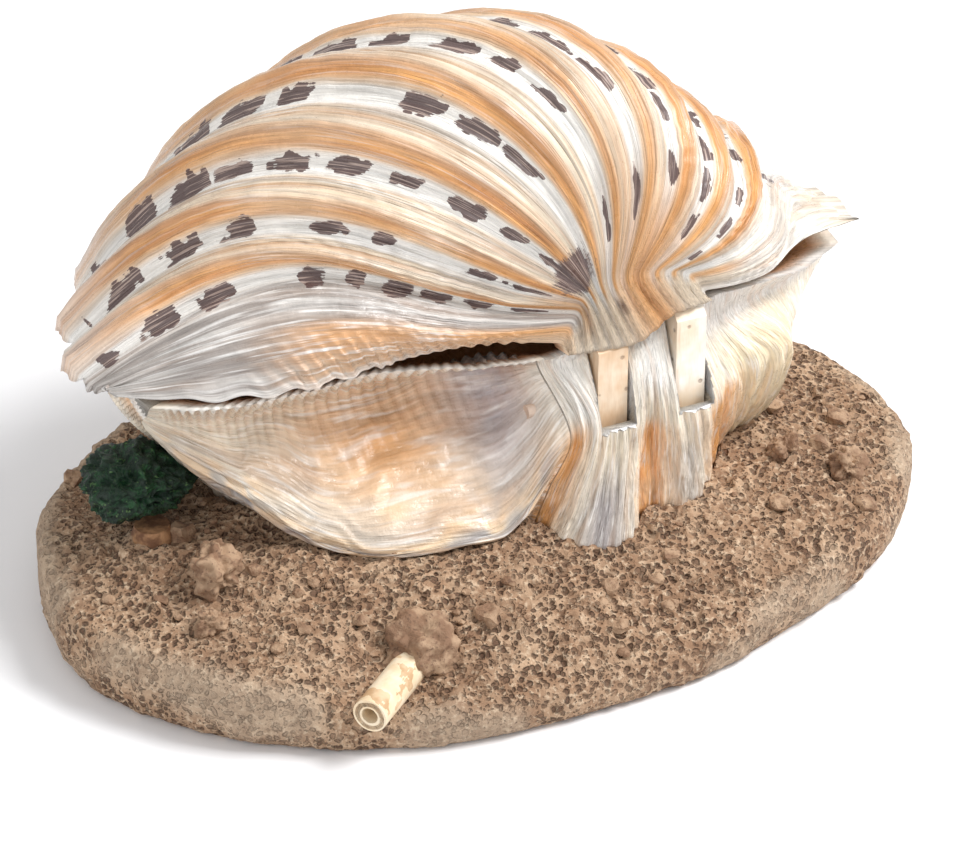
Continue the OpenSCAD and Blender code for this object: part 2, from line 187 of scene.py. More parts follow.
def filled(colour, like):
    """One colour all over a field of the shape of `like`."""
    return np.broadcast_to(colour, like.shape + (3,))


def paint(tone, colour, w):
    """A colour field with one colour laid over it by weight w."""
    return mixed(tone, np.broadcast_to(colour, tone.shape), w)


# ---------------------------------------------------------------- meshes
def quads(n, m, start=0, wrap=False, flip=False):
    """Faces of an n by m grid of points that starts at index start."""
    i = np.arange(n if wrap else n - 1)[:, None]
    j = np.arange(m - 1)[None, :]
    k = (i + 1) % n
    f = np.stack([i * m + j, i * m + j + 1, k * m + j + 1, k * m + j], -1).reshape(-1, 4) + start
    return f[:, ::-1] if flip else f


def add_mesh(name, points, faces, fields=None, material=None, smooth=True):
    """A mesh object from points in mm. fields maps names to numbers, vectors or colours per point."""
    mesh = bpy.data.meshes.new(name)
    faces = faces if isinstance(faces, list) else faces.tolist()
    mesh.from_pydata((np.asarray(points) * MM).tolist(), [], faces)
    for key, data in (fields or {}).items():
        data = np.asarray(data, np.float32)
        if data.ndim == 1:
            mesh.attributes.new(key, "FLOAT", "POINT").data.foreach_set("value", data)
        elif key == "tone":
            data = np.concatenate([data, np.ones((len(data), 1), np.float32)], 1)
            mesh.attributes.new(key, "FLOAT_COLOR", "POINT").data.foreach_set("color", data.ravel())
        else:
            mesh.attributes.new(key, "FLOAT_VECTOR", "POINT").data.foreach_set("vector", data.ravel())
    mesh.polygons.foreach_set("use_smooth", np.full(len(mesh.polygons), smooth))
    mesh.update()
    obj = bpy.data.objects.new(name, mesh)
    scene.collection.objects.link(obj)
    if material:
        mesh.materials.append(material)
    return obj


# ---------------------------------------------------------------- materials
class Shader:
    """A small builder of node materials."""

    def __init__(self, name):
        self.mat = bpy.data.materials.new(name)
        self.mat.use_nodes = True
        self.nodes = self.mat.node_tree.nodes
        self.nodes.clear()

    def add(self, kind, inputs=(), **settings):
        node = self.nodes.new("ShaderNode" + kind)
        for key, value in settings.items():
            setattr(node, key, value)
        for key, value in dict(inputs).items():
            if isinstance(value, bpy.types.NodeSocket):
                self.mat.node_tree.links.new(value, node.inputs[key])
            else:
                node.inputs[key].default_value = value
        return node

    def place(self):
        return self.add("TexCoord").outputs["Object"]

    def field(self, name, out="Fac"):
        return self.add("Attribute", attribute_name=name).outputs[out]

    def scaled(self, vector, factors):
        node = self.add("VectorMath", {0: vector, 1: factors}, operation="MULTIPLY")
        return node.outputs[0]

    def noise(self, vector, scale, detail=3.0, rough=0.55, warp=0.0):
        node = self.add("TexNoise", {"Vector": vector, "Scale": scale, "Detail": detail,
                                     "Roughness": rough, "Distortion": warp})
        return node.outputs["Fac"]

    def calc(self, operation, a, b=0.5, clamp=False):
        return self.add("Math", {0: a, 1: b}, operation=operation, use_clamp=clamp).outputs[0]

    def ramp(self, value, low, high, out_low=0.0, out_high=1.0):
        node = self.add("MapRange", {"Value": value, "From Min": low, "From Max": high,
                                     "To Min": out_low, "To Max": out_high},
                        interpolation_type="SMOOTHSTEP")
        return node.outputs["Result"]

    def blend(self, share, a, b, kind="MIX"):
        node = self.add("Mix", {"Factor": share}, data_type="RGBA", blend_type=kind)
        for socket, value in ((node.inputs[6], a), (node.inputs[7], b)):
            if isinstance(value, bpy.types.NodeSocket):
                self.mat.node_tree.links.new(value, socket)
            else:
                socket.default_value = (*value, 1.0)
        return node.outputs[2]

    def finish(self, colour, roughness=0.5, height=None, relief=0.3, strength=1.0, **sockets):
        inputs = {"Base Color": colour, "Roughness": roughness}
        inputs.update({key.replace("_", " "): value for key, value in sockets.items()})
        if not isinstance(colour, bpy.types.NodeSocket):
            inputs["Base Color"] = (*colour, 1.0)
        if height is not None:
            node = self.add("Bump", {"Height": height, "Distance": relief * MM, "Strength": strength})
            inputs["Normal"] = node.outputs[0]
        shader = self.add("BsdfPrincipled", inputs)
        self.add("OutputMaterial", {"Surface": shader.outputs[0]})
        return self.mat


def shell_material(name, across, along, relief):
    """Lacquered shell: streaks that follow the ribs, crisp cracked spots, pale streaks of painted sheen."""
    s = Shader(name)
    flow = s.field("flow", "Vector")
    place = s.place()
    streak = s.noise(s.scaled(flow, (across, along, 0)), 1.0, 1.5, 0.5)
    fine = s.noise(s.scaled(flow, (across * 3.2, along * 2.2, 3.0)), 1.0, 1.0, 0.5)
    broad = s.noise(s.scaled(flow, (across * 0.4, along * 0.5, 7.0)), 1.0, 1.0, 0.5)
    grain = s.noise(place, 900.0, 3.0, 0.6)
    blotch = s.noise(place, 110.0, 3.0, 0.6)
    tone = s.field("tone", "Color")
    dark = s.ramp(streak, 0.34, 0.58, 0.84, 1.02)
    line = s.ramp(fine, 0.34, 0.60, 0.87, 1.03)
    shade = s.calc("MULTIPLY", s.calc("MULTIPLY", dark, line), s.ramp(blotch, 0.3, 0.6, 0.92, 1.03))
    grey = s.add("CombineColor", {0: shade, 1: shade, 2: shade}).outputs[0]
    body = s.blend(1.0, tone, grey, "MULTIPLY")
    warm = s.calc("MULTIPLY", s.ramp(broad, 0.48, 0.66), s.field("warm"))
    body = s.blend(s.calc("MULTIPLY", warm, 0.36), body, rgb(204, 152, 106))
    # painted sheen: pale highlight streaks laid over the colour, weighted per point
    sheen_streak = s.ramp(s.noise(s.scaled(flow, (across * 1.7, along * 1.1, 5.0)), 1.0, 2.0), 0.50, 0.72)
    body = s.blend(s.calc("MULTIPLY", sheen_streak, s.field("painted_sheen")), body, rgb(251, 249, 246))
    # spots: ragged edge, pale cracks along the rib
    edge = s.calc("ADD", s.field("spot"), s.calc("MULTIPLY", s.calc("SUBTRACT", fine, 0.5), 0.9))
    edge = s.calc("ADD", edge, s.calc("MULTIPLY", s.calc("SUBTRACT", grain, 0.5), 0.7))
    mask = s.ramp(edge, 0.46, 0.56)
    crack = s.ramp(s.noise(s.scaled(flow, (across * 2.4, along * 1.6, 0)), 1.0, 2.0, 0.6), 0.53, 0.60)
    ink = s.blend(s.calc("MULTIPLY", crack, 0.75), rgb(86, 62, 60), rgb(196, 172, 160))
    body = s.blend(s.calc("MULTIPLY", mask, 0.94), body, ink)
    height = s.calc("ADD", s.calc("MULTIPLY", streak, 0.55), s.calc("MULTIPLY", fine, 0.3))
    height = s.calc("ADD", height, s.calc("MULTIPLY", grain, 0.18))
    rough = s.ramp(grain, 0.35, 0.65, 0.26, 0.5)
    return s.finish(body, rough, height, relief, 1.0, Coat_Weight=0.25, Coat_Roughness=0.2)


def tan_material(name, low, high):
    """Bare casting of a hinge arm: cloudy, faint mould lines, a few pores."""
    s = Shader(name)
    place = s.place()
    cloud = s.noise(place, 160.0, 3.0, 0.6)
    streak = s.noise(s.scaled(place, (1, 1, 0.18)), 700.0, 3.0, 0.6)
    colour = s.blend(s.ramp(cloud, 0.35, 0.65), rgb(*low), rgb(*high))
    colour = s.blend(s.ramp(streak, 0.5, 0.72, 0.0, 0.4), colour, rgb(204, 166, 128))
    pore = s.add("TexVoronoi", {"Vector": place, "Scale": 420.0}).outputs["Distance"]
    colour = s.blend(s.ramp(pore, 0.10, 0.18, 0.5, 0.0), colour, rgb(120, 84, 60))
    height = s.calc("ADD", streak, s.ramp(pore, 0.08, 0.2))
    return s.finish(colour, 0.45, height, 0.25, 0.6, Coat_Weight=0.15, Coat_Roughness=0.3)


def sand_material():
    """Porous cast sand: pale grain walls, dark pits, greyer smoother rim."""
    s = Shader("porous_sand")
    place = s.place()
    warp = s.add("TexNoise", {"Vector": place, "Scale": 700.0, "Detail": 2.0}).outputs["Color"]
    shift = s.scaled(warp, (0.0012, 0.0012, 0.0012))
    bent = s.add("VectorMath", {0: place, 1: shift}, operation="ADD").outputs[0]
    pit = s.add("TexVoronoi", {"Vector": bent, "Scale": 960.0}).outputs["Distance"]
    speck = s.add("TexVoronoi", {"Vector": bent, "Scale": 1700.0}).outputs["Distance"]
    web = s.noise(place, 1100.0, 4.0, 0.65)
    wide = s.noise(place, 70.0, 3.0, 0.6)
    hue = s.noise(place, 260.0, 3.0, 0.6)
    rim = s.field("rim")
    colour = s.blend(s.ramp(hue, 0.38, 0.64), rgb(158, 126, 100), rgb(188, 158, 130))
    colour = s.blend(s.ramp(wide, 0.42, 0.62, 0.0, 0.5), colour, rgb(140, 108, 84))
    colour = s.blend(s.ramp(web, 0.50, 0.66, 0.0, 0.7), colour, rgb(216, 192, 164))
    patchy = s.ramp(s.noise(place, 190.0, 2.0, 0.6), 0.36, 0.56, 0.45, 1.0)
    hollow = s.calc("MULTIPLY", s.ramp(pit, 0.22, 0.52, 1.0, 0.0), patchy)
    hollow = s.calc("MAXIMUM", hollow, s.ramp(speck, 0.12, 0.34, 0.6, 0.0))
    hollow = s.calc("MULTIPLY", hollow, s.ramp(rim, 0.0, 1.0, 1.0, 0.5))
    colour = s.blend(s.calc("MULTIPLY", hollow, 0.85), colour, rgb(96, 70, 55))
    colour = s.blend(s.calc("MULTIPLY", rim, 0.45), colour, rgb(184, 168, 148))
    colour = s.blend(s.calc("MULTIPLY", s.field("deep"), 0.75), colour, rgb(82, 60, 48))
    height = s.calc("SUBTRACT", s.calc("MULTIPLY", web, 0.6), hollow)
    return s.finish(colour, 0.85, height, 0.8, 1.0, Specular_IOR_Level=0.25)


def stone_material():
    s = Shader("tan_stone")
    place = s.place()
    hue = s.noise(place, 300.0, 3.0, 0.6)
    grain = s.noise(place, 1300.0, 3.0, 0.7)
    colour = s.blend(s.ramp(hue, 0.38, 0.62), rgb(136, 104, 80), rgb(178, 148, 120))
    colour = s.blend(s.ramp(grain, 0.56, 0.66, 0.0, 0.7), colour, rgb(98, 72, 56))
    return s.finish(colour, 0.8, grain, 0.4, 0.8)


def plant_material():
    s = Shader("dark_plant")
    place = s.place()
    thread = s.noise(place, 520.0, 4.0, 0.7, 1.6)
    patch = s.noise(place, 150.0, 3.0, 0.6)
    colour = s.blend(s.ramp(thread, 0.45, 0.66), rgb(6, 32, 18), rgb(28, 78, 40))
    colour = s.blend(s.ramp(patch, 0.45, 0.65, 0.0, 0.6), colour, rgb(12, 48, 28))
    tip = s.ramp(s.noise(place, 1500.0, 2.0, 0.6), 0.62, 0.72, 0.0, 0.5)
    colour = s.blend(tip, colour, rgb(120, 160, 96))
    return s.finish(colour, 0.5, thread, 0.8, 0.9)


def peg_material():
    s = Shader("brown_peg")
    place = s.place()
    hue = s.noise(place, 420.0, 3.0, 0.6)
    colour = s.blend(s.ramp(hue, 0.4, 0.62), rgb(118, 80, 54), rgb(176, 132, 94))
    return s.finish(colour, 0.7, hue, 0.5, 0.8)


def metal_material():
    s = Shader("pin_steel")
    line = s.noise(s.scaled(s.place(), (1, 20, 20)), 120.0, 2.0)
    colour = s.blend(line, rgb(150, 150, 150), rgb(198, 198, 196))
    return s.finish(colour, s.ramp(line, 0.3, 0.7, 0.25, 0.4), line, 0.02, 0.4, Metallic=1.0)


def plastic_material(name, colour, worn):
    s = Shader(name)
    cloud = s.noise(s.place(), 380.0, 3.0, 0.6)
    tint = s.blend(s.ramp(cloud, 0.35, 0.65), rgb(*colour), rgb(*worn))
    return s.finish(tint, s.ramp(cloud, 0.3, 0.7, 0.4, 0.6), cloud, 0.15, 0.5)


# ---------------------------------------------------------------- upper shell
LAST = 11
RIB_SWEEP, RIB_SPREAD, CROWN, BEAK_RISE = 190.0, 1.42, 44.0, 47.0
CROWN_LEAN, RIB_SWING, WING_LIFT, RIB_DEPTH = 0.5, 16.0, 3.6, 2.6
LID_MID_X, HALF_LEN, HALF_DEEP, SEAM_Z = -1.6, 59.4, 50.0, 40.0
HEART = np.array([0.0, -22.0, 38.0])


def sind(a):
    return np.sin(np.radians(a))


def wing(q):
    return WING_LIFT * np.exp(-((np.maximum(0, LAST - 0.3 - q) / 0.4) ** 2))


def beak_point(q):
    u = q / LAST
    return np.array([-8 - 19.5 * u * u + 2.5 * max(0, 1 - q), 17 - 2 * abs(u - 0.5),
                     41.3 + 2.9 * u + 7 * max(0, sind(180 * u)) ** 0.4])


def guide(q):
    """Control points of one rib curve, from the beak to the margin, as in part.scad."""
    u = q / LAST
    over = max(0.0, float(sind(180 * u)))
    turn = RIB_SWEEP * u**RIB_SPREAD - 1
    reach = (0.95 if q in (0, LAST) else 1.0) - 0.04 * math.exp(-(((q - LAST + 1.2) / 0.6) ** 2))
    a = beak_point(q)
    b = np.array([LID_MID_X + reach * HALF_LEN * float(sind(90 - turn)),
                  -reach * HALF_DEEP * float(sind(turn)), SEAM_Z + wing(q)])
    run = np.array([b[0] - a[0], b[1] - a[1], 0])
    side = np.array([run[1], -run[0], 0]) / np.hypot(run[0], run[1])
    near = 0.47 - 0.56 * max(0.0, float(sind(180 * u**1.3))) ** 1.5
    far = 0.55 - 0.37 * over**1.5
    swing = 6 + 3 * min(1, q) - RIB_SWING * float(sind(360 * u))
    up = np.array([0, 0, 1.0])
    high = CROWN * math.sqrt(over) * (1.19 - CROWN_LEAN * u)
    lean = -12 if q == 0 else 2 - 8 * u
    return [a, a + near * run + (1 + BEAK_RISE * over**3) * up + swing * side,
            b - far * run + high * up + lean * side, b]


GUIDES = np.array([guide(q) for q in range(LAST + 1)])


def apron_z(x):
    f = np.clip((-14.8 - x) / 7, 0, 1)
    return 40.4 + 3.2 * f * f * (3 - 2 * f)


def apron(q):
    x = -5.5 - 22.5 * q / LAST
    return np.stack([x, 18 + 1.2 * sind(180 * q / LAST), apron_z(x)], -1)


def margin_z(q):
    return SEAM_Z + wing(q) + 0.8 * sind(180 * np.minimum(1, q)) * sind(360 * q)


RIB_START = 0.35


def rib_shape(Q):
    """0 on a rib's crest, 1 in the valley above it, which lies nearer the lower rib."""
    f = Q - np.floor(Q)
    return np.clip(0.5 - 0.5 * np.cos(2 * np.pi * f**0.8), 0, 1) ** 0.8


def lid_smooth(q, t):
    """Points (n, m, 3) of the plain upper valve, with the apron at t below 0."""
    body = bezier(spline(GUIDES, q), np.maximum(t, 0))
    a, b = apron(q)[:, None], body[:, :1] * 0 + bezier(spline(GUIDES, q), np.zeros(1))
    f = np.maximum(-t, 0)[None, :, None]
    lip = a + (1 - f) * (b - a)
    lip[..., 1] += 3.2 * f[..., 0] * (1 - f[..., 0]) * sind(180 * q / LAST)[:, None]
    return np.where((t < 0)[None, :, None], lip, body)


def lid_relief(Q, T, P):
    """Height of the outer surface over the plain valve, in mm."""
    body = (Q >= 1) & (Q <= LAST - 1)
    ramp = np.clip(8 * T, 0, 1)
    ribs = -RIB_DEPTH * (0.3 + 0.7 * T) * rib_shape(Q) * np.maximum(ramp, RIB_START)
    hollow = -4.0 * np.clip(sind(180 * Q), 0, 1) ** 1.3 * sind(180 * np.clip(T, 0, 1) ** 0.8)
    right = -1.5 * np.clip(sind(180 * (Q - LAST + 1)), 0, 1) * sind(180 * np.clip(T, 0, 1))
    h = np.where(body, ribs, np.where(Q < 1, hollow, right))
    rib_space = surface(Q * 6, T * 9)
    wander = noise(rib_space, 2.2, 3)
    sub = wave(3 * Q + 0.35 * wander)
    line = wave(8 * Q + 0.8 * wander)
    h = h + ramp * (0.22 * sub * (0.4 + 0.6 * rib_shape(Q)) + 0.10 * line) * step(T, 0.02, 0.3)
    growth = ripple(19 * T**0.8 + 1.6 * noise(rib_space, 3.0, 9))
    h = h + 0.07 * growth * step(noise(rib_space * 0.5, 1.4, 21), 0.0, 0.7) * ramp
    h = h + 0.28 * fbm(P, 7.0, 2, 5) * ramp + 0.10 * fbm(P, 1.6, 2, 8) * ramp
    # oblique fine ribs of the hollow beside the slit, and steps further left
    slit = step(Q, 0.6, 0.05) * step(T, 0.03, 0.12) * step(T, 0.85, 0.6)
    h = h + 0.42 * slit * wave(27 * T**0.9 - 4.5 * Q)
    h = h - np.where(body, 0.5 * bump(Q - np.floor(Q), 0.42, 0.13) * step(T, 0.05, 0.4), 0)
    # the bubble beside the umbo
    return h + 0.45 * bump(Q, 3.75, 0.22) * bump(T, 0.022, 0.007)


SPOT_STEP = 0.1
SPOT_PHASE = (0.02, 0.055, 0.03, 0.07, 0.01, 0.05, 0.03, 0.06, 0.02, 0.04)


def lid_spots(Q, T):
    """Above 0.5 inside the brown spots, which sit along the crest of each rib."""
    out = 1.1 * np.exp(-(((Q - 3.2) / 1.0) ** 2 + ((T - 0.045) / 0.04) ** 2))
    ragged, torn = (noise(np.stack([Q * 9, T * 80, 0 * Q + k], -1), 1.0, 33) for k in (0.5, 9.5))
    for k in range(1, 11):
        place = (T - SPOT_PHASE[k - 1]) / SPOT_STEP
        number = np.floor(place)
        chance = np.sin((number * 7 + k * 31) * 12.9898) * 43758.5453
        chance = chance - np.floor(chance)
        other = np.sin((number * 3 + k * 17) * 78.233) * 9631.17
        other = other - np.floor(other)
        long = 0.19 + 0.22 * chance
        wide = (0.12 + 0.09 * other) * (0.5 + 0.5 * np.maximum(T, 0))
        near = (place - number - 0.5 + 0.3 * (other - 0.5) + 0.6 * (Q - k)) / long + 0.45 * ragged
        across = (Q - k - 0.02 + 0.06 * (chance - 0.5)) / wide + 0.5 * torn
        keep = (chance > 0.16) & (T > 0.05) & (T < 0.97)
        if k == 10:
            keep &= (T > 0.6) & (T < 0.75)
        shape = 1 - (np.abs(near) ** 3 + np.abs(across) ** 2.4)
        out = np.maximum(out, np.where(keep, np.clip(0.5 + 0.6 * shape, 0, 1), 0))
    return out


WHITE, CREAM, ORANGE = srgb(247, 244, 239), srgb(232, 214, 190), srgb(232, 170, 106)
DEEP_ORANGE, TAN, GREY = srgb(198, 132, 78), srgb(224, 192, 154), srgb(164, 155, 149)
BROWN, SLIT_BROWN = srgb(120, 84, 66), srgb(236, 180, 138)


def lid_tone(Q, T, P):
    """Soft colours of the upper valve."""
    f = Q - np.floor(Q)
    streaks = noise(surface(Q * 20, T * 5), 1.0, 4)
    patch = noise(P, 14.0, 12)
    tone = filled(CREAM, Q)
    tone = paint(tone, GREY, 0.55 * step(f, 0.48, 0.7) * step(f, 0.98, 0.8) * step(streaks, -0.5, 0.5))
    orange = bump(f, 0.30, 0.13) * (0.8 + 0.35 * patch) * step(T, -0.3, 0.05)
    tone = paint(tone, ORANGE, 1.15 * orange)
    tone = paint(tone, DEEP_ORANGE, 0.75 * orange * step(streaks, -0.1, 0.6))
    # painted shade: a brownish line along the deepest part of the valley between ribs
    edge = bump(f, 0.43, 0.07) * step(patch, -0.8, 0.2) * step(T, 0.05, 0.2)
    tone = paint(tone, srgb(186, 128, 80), 0.55 * edge)
    tone = paint(tone, WHITE, 0.92 * np.maximum(step(f, 0.74, 0.88), step(f, 0.19, 0.09)))
    thin = bump(f, 0.66, 0.05) * step(streaks, -0.4, 0.4) * step(T, 0.1, 0.4)
    tone = paint(tone, srgb(214, 168, 118), 0.5 * thin)
    tone = paint(tone, WHITE, 0.45 * step(T, 0.85, 1.0))
    # below the first rib: silver flank, then the tan hollow beside the slit, its orange deepening towards the
    # first rib as painted shade
    silver = mixed(filled(GREY, Q), filled(WHITE, Q), 0.12 + 0.6 * streaks)
    tone = mixed(tone, silver, step(Q, 1.0, 0.92))
    lunule = step(Q, 0.66, 0.42) * step(T, 0.80, 0.55) * (0.85 + 0.3 * patch)
    # partly painted shade: the hollow's own tan, cream by the slit, deepening to orange towards the first rib
    warm = mixed(filled(CREAM, Q), filled(ORANGE, Q), 0.35 + 0.6 * step(Q, 0.1, 0.5))
    tone = mixed(tone, warm, lunule)
    # painted shade in the grooves between the oblique fine ribs beside the slit
    groove_shade = 0.5 - 0.5 * wave(27 * np.maximum(T, 0) ** 0.9 - 4.5 * Q)
    groove_shade = groove_shade * step(Q, 0.6, 0.2) * step(T, 0.04, 0.12) * step(T, 0.8, 0.6)
    tone = paint(tone, srgb(190, 138, 94), 0.5 * groove_shade)
    tone = paint(tone, WHITE, 0.6 * step(Q, 0.10, 0.02) * step(T, 0.1, 0.4))
    # right wing
    tone = paint(tone, srgb(236, 228, 216), 0.9 * step(Q, 9.5, 9.8) * step(T, 0.05, 0.2))
    tone = paint(tone, GREY, 0.5 * step(Q, 9.8, 10.2) * step(streaks, 0.0, 0.7) * step(T, 0.05, 0.2))
    tone = paint(tone, CREAM, 0.5 * step(Q, 10.0, 10.4) * step(patch, 0.0, 0.5))
    # neck: cream above the left arm, orange between the arms, pale at the right, painted shade in the hole
    neck = step(T, 0.03, -0.5)
    tone = paint(tone, srgb(238, 218, 192), 0.75 * neck)
    tone = paint(tone, ORANGE, 0.9 * step(T, 0.20, 0.02) * bump(Q, 6.9, 1.6))
    tone = paint(tone, DEEP_ORANGE, 0.4 * step(T, 0.12, 0.0) * bump(Q, 7.1, 0.5))
    tone = paint(tone, ORANGE, 0.6 * step(T, 0.12, 0.02) * bump(Q, 1.7, 0.6) * step(T, -0.9, -0.2))
    tone = paint(tone, CREAM, 0.6 * neck * step(Q, 8.6, 9.6))
    # painted shade: dark brown laid in the shallow dent of the hole on the neck
    return paint(tone, BROWN, 0.9 * bump(Q, 5.2, 0.28) * bump(T, -0.35, 0.12))


def build_upper_shell(material):
    per, along = ((56, 250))
    q = np.linspace(0, LAST, per * LAST + 1)
    t = np.concatenate([np.linspace(-1, 0, 12, endpoint=False), np.linspace(0, 1, along) ** 1.08])
    Q, T = np.meshgrid(q, t, indexing="ij")
    smooth = lid_smooth(q, t)
    normal = normals_of(smooth)
    # the neck between beak line and apron: a swell, the ribs running on, and the shallow dent of the hole,
    # whose darkness is painted shade
    neck = 0.8 * sind(180 * np.clip(-T, 0, 1)) - 0.5 * rib_shape(Q) * step(T, 0.0, -0.3)
    neck = neck + 0.05 * np.cos(2 * np.pi * 4 * Q)
    neck = neck - 0.9 * bump(Q, 5.2, 0.3) * bump(T, -0.35, 0.14)
    neck = neck * step(T, -1.0, -0.7) + 0.2 * fbm(smooth, 2.5, 2, 19) * step(T, 0.0, -0.12)
    neck = neck - RIB_START * 0.3 * RIB_DEPTH * rib_shape(Q)
    relief = np.where(T > 0, lid_relief(Q, np.maximum(T, 0), smooth), neck)
    fade = step(Q, 0.0, 0.06) * step(Q, LAST, LAST - 0.06)
    outer = smooth + (relief * (0.35 + 0.65 * fade))[..., None] * normal
    # the beak line is rounded over a millimetre or two
    for _ in range(14):
        outer[:, 2:30] = 0.5 * outer[:, 2:30] + 0.25 * (outer[:, 1:29] + outer[:, 3:31])
    # crenulated edges: fine teeth by the beak, long waves to the left
    uneven = noise(surface(T * 14, 0 * T), 1.0, 35)
    tooth = (0.14 + 0.1 * uneven) * wave(27 * np.maximum(T, 0) ** 0.9 + 0.25 * uneven)
    tooth = tooth * step(T, 0.03, 0.1) * step(T, 0.75, 0.5)
    swell = 0.45 * ripple(9.0 * T + 0.1) * step(T, 0.3, 0.5) * step(T, 0.97, 0.85)
    edge = step(Q, 0.30, 0.0)
    outer[..., 2] += (tooth + swell) * edge
    scallop = 0.35 * np.cos(2 * np.pi * 3 * Q) + 0.25 * noise(surface(Q * 9, 0 * Q), 1.0, 31)
    outer[..., 2] += scallop * step(T, 0.93, 1.0) * (Q > 0.3)
    last_z = margin_z(q) + scallop[:, -1] * (q > 0.3)
    inner = HEART + 0.92 * (smooth + (np.where(T > 0, relief, 0) * 0.5)[..., None] * normal - HEART)
    inner[..., 2] += (tooth + swell) * edge
    outer[:, -1, 2] = last_z
    inner[:, -1, 2] = last_z - 0.05
    n, m = Q.shape
    tone = lid_tone(Q, T, smooth)
    spot = lid_spots(Q, T)
    inside = mixed(filled(srgb(236, 224, 206), Q), filled(SLIT_BROWN, Q), step(Q, 2.0, 0.6))
    f = Q - np.floor(Q)
    # painted sheen: weight of pale highlight streaks, strongest below the first rib and towards each crest
    painted_sheen = np.where(Q < 1, 0.75, 0.3 + 0.45 * (f > 0.7)) * step(T, 0.1, 0.3)
    warm = np.where(Q < 1, 0.35, 1 - np.maximum(step(f, 0.74, 0.9), step(f, 0.18, 0.08)))
    warm = warm * step(T, -0.1, 0.15)
    flow = surface(Q, T)
    points = np.concatenate([outer.reshape(-1, 3), inner.reshape(-1, 3)])
    fields = {
        "tone": np.concatenate([tone.reshape(-1, 3), inside.reshape(-1, 3)]),
        "spot": np.concatenate([spot.ravel(), np.zeros(n * m)]),
        "painted_sheen": np.concatenate([painted_sheen.ravel(), np.zeros(n * m)]),
        "warm": np.concatenate([warm.ravel(), np.zeros(n * m)]),
        "flow": np.concatenate([flow.reshape(-1, 3), flow.reshape(-1, 3)]),
    }
    w = n * m
    i, j = np.arange(n - 1), np.arange(m - 1)
    rims = [
        np.stack([i * m, (i + 1) * m, w + (i + 1) * m, w + i * m], -1),
        np.stack([i * m + m - 1, w + i * m + m - 1, w + (i + 1) * m + m - 1, (i + 1) * m + m - 1], -1),
        np.stack([j, w + j, w + j + 1, j + 1], -1),
        np.stack([(n - 1) * m + j, (n - 1) * m + j + 1, w + (n - 1) * m + j + 1, w + (n - 1) * m + j], -1),
    ]
    faces = np.concatenate([quads(n, m), quads(n, m, w, flip=True)] + rims)
    return add_mesh("upper_shell", points, faces, fields, material)


# ---------------------------------------------------------------- sand and lower shell
BASE_X, BASE_Y, BASE_POWER = 65.5, 44.5, 2.1
MOUND_Z, EDGE_ENDS, EDGE_BACK = 16.5, 10.5, 5.5
BASE_MID = np.array([1.6, 1.6])
LINE_TURN = math.radians(39.6)
LINE_DIR = np.array([math.cos(LINE_TURN), math.sin(LINE_TURN), 0.0])
MOUTH = np.array([35.8, 42.5, 8.0])
SPIGOT_LEN = 14.0
MARGIN_GAP, INSET, FOOT_RATIO = 0.5, 0.955, 0.7

# sections of the hinge side, as in part.scad: rim, hollow, ridge or frill, waist, foot
HINGE_SIDE = [
    [[51, 4, 39], [51, 2.5, 37], [51, 1, 34], [44, -4, 23], [38, -8]],
    [[46, 7, 39], [46, 3, 35], [47, 3, 30], [40, -1, 20], [36, -3]],
    [[38, 9, 39], [39, 3, 33], [40, 7, 25], [36, 4, 18], [33, 3]],
    [[29, 8.5, 38.5], [31, 1.5, 31], [33, 11, 19], [32, 10, 16.5], [31, 8]],
    [[20, 8, 38.5], [22, 1, 30], [24, 17, 17], [24, 17, 15.5], [23, 16]],
    [[11, 10, 38], [12, 1, 30], [12, 19.5, 17], [12, 19.5, 15.5], [12, 18]],
    [[3, 13, 38], [3, 4, 32], [4, 20, 18], [3, 19, 16.5], [3, 17]],
    [[-3, 15, 38.5], [-3, 12, 36], [-4.5, 20, 28], [-1, 20, 20], [0.5, 19]],
    [[-6.5, 15.5, 39], [-6, 16, 37], [-8, 21.5, 30], [-4.5, 23, 20], [-2, 23]],
    [[-11, 16, 39.5], [-11, 18.5, 36.5], [-11, 21.5, 29], [-9, 24, 20], [-6.5, 26.5]],
    [[-14.5, 16, 39.5], [-14.5, 18.5, 36.5], [-14.5, 21.5, 29], [-13, 23.5, 20], [-11.5, 26]],
    [[-17.5, 16, 39.5], [-17.5, 18.5, 36.5], [-17.5, 20, 29], [-17, 20.5, 20], [-16.5, 22]],
    [[-21, 16, 41], [-21, 18.5, 36], [-21.5, 21.5, 28], [-22.5, 22, 20], [-22, 22.5]],
    [[-25, 16, 42.5], [-25.5, 17.5, 36], [-26.5, 21.5, 28], [-28, 19, 20], [-28.5, 18]],
    [[-29, 15.5, 42.5], [-30, 15, 37], [-33, 18, 31], [-35, 14, 21], [-35, 10]],
    [[-34, 15, 42.5], [-35, 13, 37], [-40, 18, 33], [-41, 13, 22], [-40, 8]],
    [[-40, 14, 42], [-40, 10, 37], [-43, 13, 32], [-45, 9, 22], [-45, 4]],
    [[-47, 10.5, 40], [-46, 7, 36], [-47, 8, 31], [-46.5, 3, 22], [-45.5, -1]],
    [[-56, 4, 38.5], [-55, 2, 36], [-53, 1, 32], [-47, -4, 23], [-43.5, -9]],
]
BACK = len(HINGE_SIDE) - 1
FRONT_SPAN = LAST - 1 + 1 / 3


def edge_z(x, y):
    return EDGE_ENDS - (EDGE_ENDS - EDGE_BACK) * (np.maximum(0, y) / np.maximum(1, np.hypot(x, y))) ** 2


def oval(x, y):
    """1 on the base's plain outline, less inside it; x and y are distances from its middle."""
    return ((x / BASE_X) ** BASE_POWER + (y / BASE_Y) ** BASE_POWER) ** (1 / BASE_POWER)


